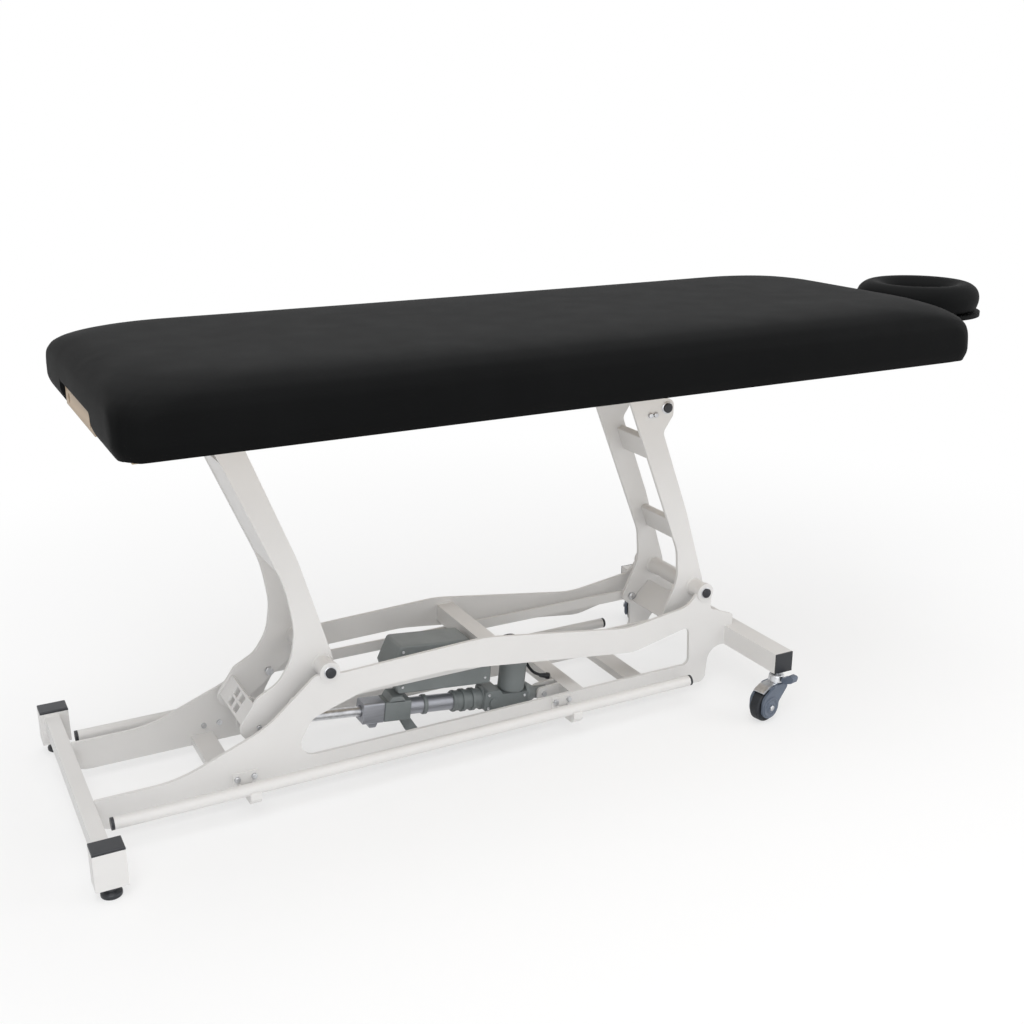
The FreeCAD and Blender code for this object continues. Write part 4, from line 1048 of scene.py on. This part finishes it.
class TABLE_OT_lead(Operator):
    """Lays the lead from the control box down to the drive's mount, with a gland at either end"""

    bl_idname = "table.lead"
    bl_label = "Drive lead"

    route = (
        (-250, -14, 186), (-225, -14, 190), (-199, -14, 202), (-172, -14, 202), (-152, -14, 186), (-142, -15, 150),
        (-134, -16, 114), (-109, -17.5, 85), (-78, -18, 77),
    )
    radius = 3.5 * MM
    gland = ((8, -1), (8, 5), (7, 6.5), (6.2, 7), (5.6, 14), (5.2, 20), (4.2, 24), (3.6, 24.5))

    def line_of(self, curve):
        """Points along the curve before it has a thickness."""
        probe = bpy.data.objects.new("lead_line", curve)
        mesh = bpy.data.meshes.new_from_object(probe)
        points = vectors(mesh)
        bpy.data.objects.remove(probe)
        bpy.data.meshes.remove(mesh)
        return points

    def execute(self, context):
        curve = bpy.data.curves.new("drive_lead", "CURVE")
        curve.dimensions = "3D"
        curve.resolution_u = 14
        spline = curve.splines.new("NURBS")
        spline.points.add(len(self.route) - 1)
        spots = np.concatenate((np.array(self.route) * MM, np.ones((len(self.route), 1))), 1)
        spline.points.foreach_set("co", spots.astype(np.float32).ravel())
        spline.order_u = 3
        spline.use_endpoint_u = True
        path = self.line_of(curve)
        curve.bevel_depth = self.radius
        curve.bevel_resolution = 5
        curve.use_fill_caps = True
        lead = bpy.data.objects.new("drive_lead", curve)
        context.scene.collection.objects.link(lead)
        settle(lead, "black_lead", "base", "motor_lead")
        glands = [revolve(self.gland, end[0], end[3] - end[0], 28) for end in (path, path[::-1])]
        gland = make("lead_glands", glands, "black_plastic", "base")
        return {"FINISHED"}


def place_on(origin, behind):
    """A place for pieces on the drive or beside it: a point, the direction back along its axis, and up from it."""
    return np.asarray(origin, float), np.asarray(behind, float), np.cross((0, -1, 0), behind)


def drive_place():
    return place_on(pivot("actuator_tilt"), -np.array(JOINTS["actuator_stroke"]["axis"], float))


class TABLE_OT_shells(Operator):
    """Moulds the control box along the drive, and the clamp, lever and guide on the drive's tube"""

    bl_idname = "table.shells"
    bl_label = "Drive shells"

    # Millimetres behind and above the drive's rear pin along its axis, and a corner's radius
    case = (
        (-374, 34, 8), (-148, 34, 8), (-150, 100, 5), (-204, 104, 3), (-206, 146, 8), (-378, 146, 9), (-398, 92, 8),
    )
    case_pin = (-118, 0, 76)
    case_tilt = math.radians(5.9)
    case_sides = (-2, 78)
    hanger = ((-22, -22, 2), (22, -22, 2), (22, 0, 1), (-22, 0, 1))
    hanger_inset = 10 * MM
    guide_block = ((-22, -24, 4), (22, -24, 4), (22, 24, 6), (-22, 24, 6))
    guide_bore = 12.5
    guide_ends = (-455, -405)
    guide_foot = ((-441, -22, 2), (-439, -34, 5), (-422, -34, 5), (-418, -22, 2))
    clamp_block = ((-24, -23, 5), (24, -23, 5), (24, 24, 5), (-24, 24, 5))
    clamp_bore = 19.2
    clamp_ends = (-405, -343)
    clamp_head = ((-398, 22, 2), (-356, 22, 2), (-366, 36, 5), (-390, 36, 5))
    lever = ((-366, -20, 1), (-340, -20, 1), (-312, -56, 4), (-322, -66, 6), (-342, -58, 8))

    @classmethod
    def case_place(cls):
        return place_on(np.array(cls.case_pin) * MM, (math.cos(cls.case_tilt), 0, -math.sin(cls.case_tilt)))

    def block(self, outline, radius, ends):
        """A block round the drive's tube, with a bore along the tube's axis."""
        pin, behind, up = drive_place()
        low, high = (end * MM for end in ends)
        return slab([bend(outline), bore(radius)], (pin, (0, 1, 0), up), low, high, 2 * MM)

    def cut(self, outline, half, edge):
        """A plate in the drive's upright plane, as thick to either side of it, in millimetres."""
        return slab([bend(outline)], drive_place(), -half * MM, half * MM, edge * MM)

    def execute(self, context):
        low, high = (side * MM for side in self.case_sides)
        under = middle("upper_cross_tube")[0], 0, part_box("upper_cross_tube")[0].z
        hanger = slab([bend(self.hanger)], (under, (1, 0, 0), (0, 0, 1)), low + self.hanger_inset,
                      high - self.hanger_inset)
        case = [slab([bend(self.case)], self.case_place(), low, high, 5 * MM), hanger]
        make_plates("control_case", case, "housing_grey", "base", "control_box")
        clamp = [self.block(self.clamp_block, self.clamp_bore, self.clamp_ends), self.cut(self.clamp_head, 24, 3),
                 self.cut(self.lever, 5, 2)]
        make_plates("tube_clamp", clamp, "housing_grey", "actuator", "actuator_guide")
        guide = [self.block(self.guide_block, self.guide_bore, self.guide_ends), self.cut(self.guide_foot, 20, 2)]
        make_plates("rod_guide", guide, "silver_tube", "actuator")
        return {"FINISHED"}


class TABLE_OT_drive(Operator):
    """Adds the screws, seams and rings of the drive and of the control box"""

    bl_idname = "table.drive"
    bl_label = "Drive and control box"

    # Millimetres behind and above the drive's rear pin along its axis
    gearbox_screws = ((-60, -18), (-152, -16), (-152, 16), (-60, 8), (-110, -18))
    gearbox_side = -27
    case_screws = ((-164, 50), (-366, 50), (-222, 132), (-370, 132))
    case_seam = ((-154, 90), (-390, 90))
    motor_base = (-85, -2, 92)
    # Millimetres behind the pin, and a section of (radius, distance ahead)
    collars = (
        (-229, ((19.3, 0), (24.6, 0), (24.6, 4), (22.5, 7), (20.5, 8), (19.3, 8))),
        (-299, ((19.3, 0), (22.4, 1), (22.4, 8), (21, 10), (19.3, 10))),
    )
    motor_bands = (
        ((28.5, 0), (31.4, 0.4), (31.4, 3.4), (28.5, 3.8)),
        ((28, 14.5), (24, 16.6), (17, 17.2), (6, 17.4)),
    )

    def execute(self, context):
        drive = drive_place()
        pin, behind, up = drive
        screws = [self.screw(self.spot(drive, along, self.gearbox_side, rise), -1, 3.4)
                  for along, rise in self.gearbox_screws]
        make("gearbox_screws", screws, "bright_steel", "actuator")
        rings = [revolve(rows, self.spot(drive, along, 0, 0), -behind, 48, hollow=True)
                 for along, rows in self.collars]
        make("tube_collars", rings, "housing_grey", "actuator")
        bands = [revolve(rows, self.spot(drive, *self.motor_base), up, 56) for rows in self.motor_bands]
        make("motor_bands", bands, "housing_grey", "actuator")
        case = TABLE_OT_shells.case_place()
        seams = []
        screws = []
        for side, out in zip(TABLE_OT_shells.case_sides, (1, -1)):
            start, end = (self.spot(case, along, -side, rise) for along, rise in self.case_seam)
            seams.append(tube(line(start, end, 4 * MM), 0.9 * MM))
            screws += [self.screw(self.spot(case, along, -side, rise), out, 3.2) for along, rise in self.case_screws]
        make("control_box_seam", seams, "housing_grey", "base")
        make("control_box_screws", screws, "bright_steel", "base")
        return {"FINISHED"}

    def spot(self, place, along, across, rise):
        """A point of a place: millimetres back along its axis, across the table and up from the axis."""
        origin, behind, up = place
        return origin + (behind * along + (0, across, 0) + up * rise) * MM

    def screw(self, centre, out, radius):
        """A pan-head screw with a dished middle in place of its slot."""
        rows = np.array([(1.0, 0), (1.0, 0.35), (0.85, 0.6), (0.5, 0.68), (0.42, 0.35), (0.1, 0.3)])
        return revolve(rows * radius, centre, (0, out, 0), 24)


class TABLE_OT_casters(Operator):
    """Adds hub caps and axle nuts to the casters"""

    bl_idname = "table.casters"
    bl_label = "Caster fittings"

    hub_face = 20.5 * MM
    nut_rise = 2.2 * MM
    hub_cap = ((24, -0.5), (24, 1.0), (22.8, 1.8), (19.5, 1.8), (18.8, 0.9), (13.5, 0.9), (12.6, 2.2), (8.5, 2.6))

    def execute(self, context):
        for side, out in SIDES:
            caster = "caster_" + side
            centre = pivot(caster + "_roll")
            axis = np.array(JOINTS[caster + "_roll"]["axis"], float)
            caps = []
            nuts = []
            for away in (-axis, axis):
                caps.append(revolve(self.hub_cap, centre + away * self.hub_face, away, 56))
                nuts.append(hexagon(centre + away * (self.hub_face + self.nut_rise), away, 12, 4.2))
            make(caster + "_hub_caps", caps, "caster_grey", caster)
            make(caster + "_axle_nuts", nuts, "bright_steel", caster)
        return {"FINISHED"}


# Stage


class TABLE_OT_stage(Operator):
    """Sets the pale floor, the studio light and the camera"""

    bl_idname = "table.stage"
    bl_label = "Stage"

    # A lamp's name, where it stands, the height that it points at, its size and its power
    lamps = (
        ("key_light", (-2.4, -3.2, 5.0), 0.4, 3.2, 116),
        ("top_light", (0.2, 0.2, 4.6), 0.6, 3.6, 85),
        ("fill_light", (3.4, -2.4, 2.2), 0.4, 2.6, 40),
        ("front_light", (-1.4, -4.4, 0.9), 0.3, 3.0, 46),
    )
    soft_strength = 0.42
    floor_reach = 14.0
    floor_drop = 0.5 * MM

    def execute(self, context):
        scene = context.scene
        settings = scene.table_stage
        scene.view_settings.view_transform = "Standard"
        self.world(scene)
        self.floor(settings)
        for name, spot, height, size, power in self.lamps:
            light = bpy.data.lights.new(name, "AREA")
            light.size = size
            light.energy = power
            lamp = self.stand(name, light, spot)
            lamp.rotation_euler = (Vector((0, 0, height)) - Vector(spot)).to_track_quat("-Z", "Y").to_euler()
        camera = bpy.data.cameras.new("photo_camera")
        camera.lens = settings.lens
        camera.sensor_width = 36
        camera.clip_end = 100
        scene.camera = self.stand("photo_camera", camera, settings.camera_spot)
        scene.camera.rotation_euler = Euler(settings.camera_turn)
        return {"FINISHED"}

    def stand(self, name, data, spot):
        item = bpy.data.objects.new(name, data)
        item.location = spot
        bpy.context.scene.collection.objects.link(item)
        return item

    def seen(self, tree):
        """1 where a ray comes from the camera, a reflection or a clear surface, and 0 for the light itself."""
        path = add(tree, "ShaderNodeLightPath").outputs
        share = path["Is Camera Ray"]
        for ray in ("Is Glossy Ray", "Is Transmission Ray"):
            share = combine(tree, "MAXIMUM", share, path[ray])
        return share

    def world(self, scene):
        """White where it is seen, and a soft even light elsewhere."""
        scene.world = bpy.data.worlds.new("studio")
        scene.world.use_nodes = True
        tree = scene.world.node_tree
        soft = tree.nodes["Background"]
        soft.inputs["Color"].default_value = (1, 1, 1, 1)
        soft.inputs["Strength"].default_value = self.soft_strength
        white = add(tree, "ShaderNodeBackground", Color=(1, 1, 1, 1), Strength=1.0)
        mix_out(tree, self.seen(tree), soft, white, "World Output")

    def floor(self, settings):
        """A pale floor that a camera or a reflection sees as white further out, and with a soft shadow near the
        table: the share of white grows smoothly with the distance from the middle."""
        look = Finish("pale_floor", settings.floor, 0.7)
        tree = look.tree
        look.tone(look.noise(0.6), (0.3, 0.985), (0.7, 1))
        away = add(tree, "ShaderNodeVectorMath", {"operation": "LENGTH"}, Vector=look.place).outputs["Value"]
        white = add(tree, "ShaderNodeMapRange", {"interpolation_type": "SMOOTHSTEP"}, Value=away, From_Min=1.0,
                    From_Max=2.6, To_Min=0.62, To_Max=1.0).outputs["Result"]
        glow = add(tree, "ShaderNodeEmission", Color=(1, 1, 1, 1), Strength=1.0)
        mix_out(tree, combine(tree, "MULTIPLY", white, self.seen(tree)), look.shader, glow, "Material Output")
        corners = np.array([(-1, -1, 0), (1, -1, 0), (1, 1, 0), (-1, 1, 0)]) * self.floor_reach
        corners[:, 2] = -self.floor_drop
        floor = make("floor", [(corners, np.array([[0, 1, 2, 3]]), NO_TRIANGLES)], smooth=False)
        floor.data.materials.append(look.material)


class TABLE_PT_panel(Panel):
    """Lists the steps of the dressing in the sidebar"""

    bl_idname = "TABLE_PT_panel"
    bl_label = "Massage table"
    bl_space_type = "VIEW_3D"
    bl_region_type = "UI"
    bl_category = "Table"

    def draw(self, context):
        for name in SETTINGS:
            settings = getattr(context.scene, name)
            for field in settings.__annotations__:
                self.layout.prop(settings, field)
        for step in STEPS:
            self.layout.operator(step.bl_idname)


STEPS = (TABLE_OT_finishes, TABLE_OT_padded_top, TABLE_OT_face_cushion, TABLE_OT_legs, TABLE_OT_welds, TABLE_OT_bolts,
         TABLE_OT_lead, TABLE_OT_shells, TABLE_OT_drive, TABLE_OT_casters, TABLE_OT_stage)
SETTINGS = {"table_finishes": TableFinishes, "table_sizes": TableSizes, "table_stage": StageSettings}
CLASSES = (*SETTINGS.values(), *STEPS, TABLE_PT_panel)


def register():
    for item in CLASSES:
        bpy.utils.register_class(item)
    for name, group in SETTINGS.items():
        setattr(bpy.types.Scene, name, PointerProperty(type=group))


def unregister():
    for name in SETTINGS:
        delattr(bpy.types.Scene, name)
    for item in reversed(CLASSES):
        bpy.utils.unregister_class(item)


def main():
    register()
    for step in STEPS:
        family, action = step.bl_idname.split(".")
        getattr(getattr(bpy.ops, family), action)()


if __name__ == "__main__":
    main()
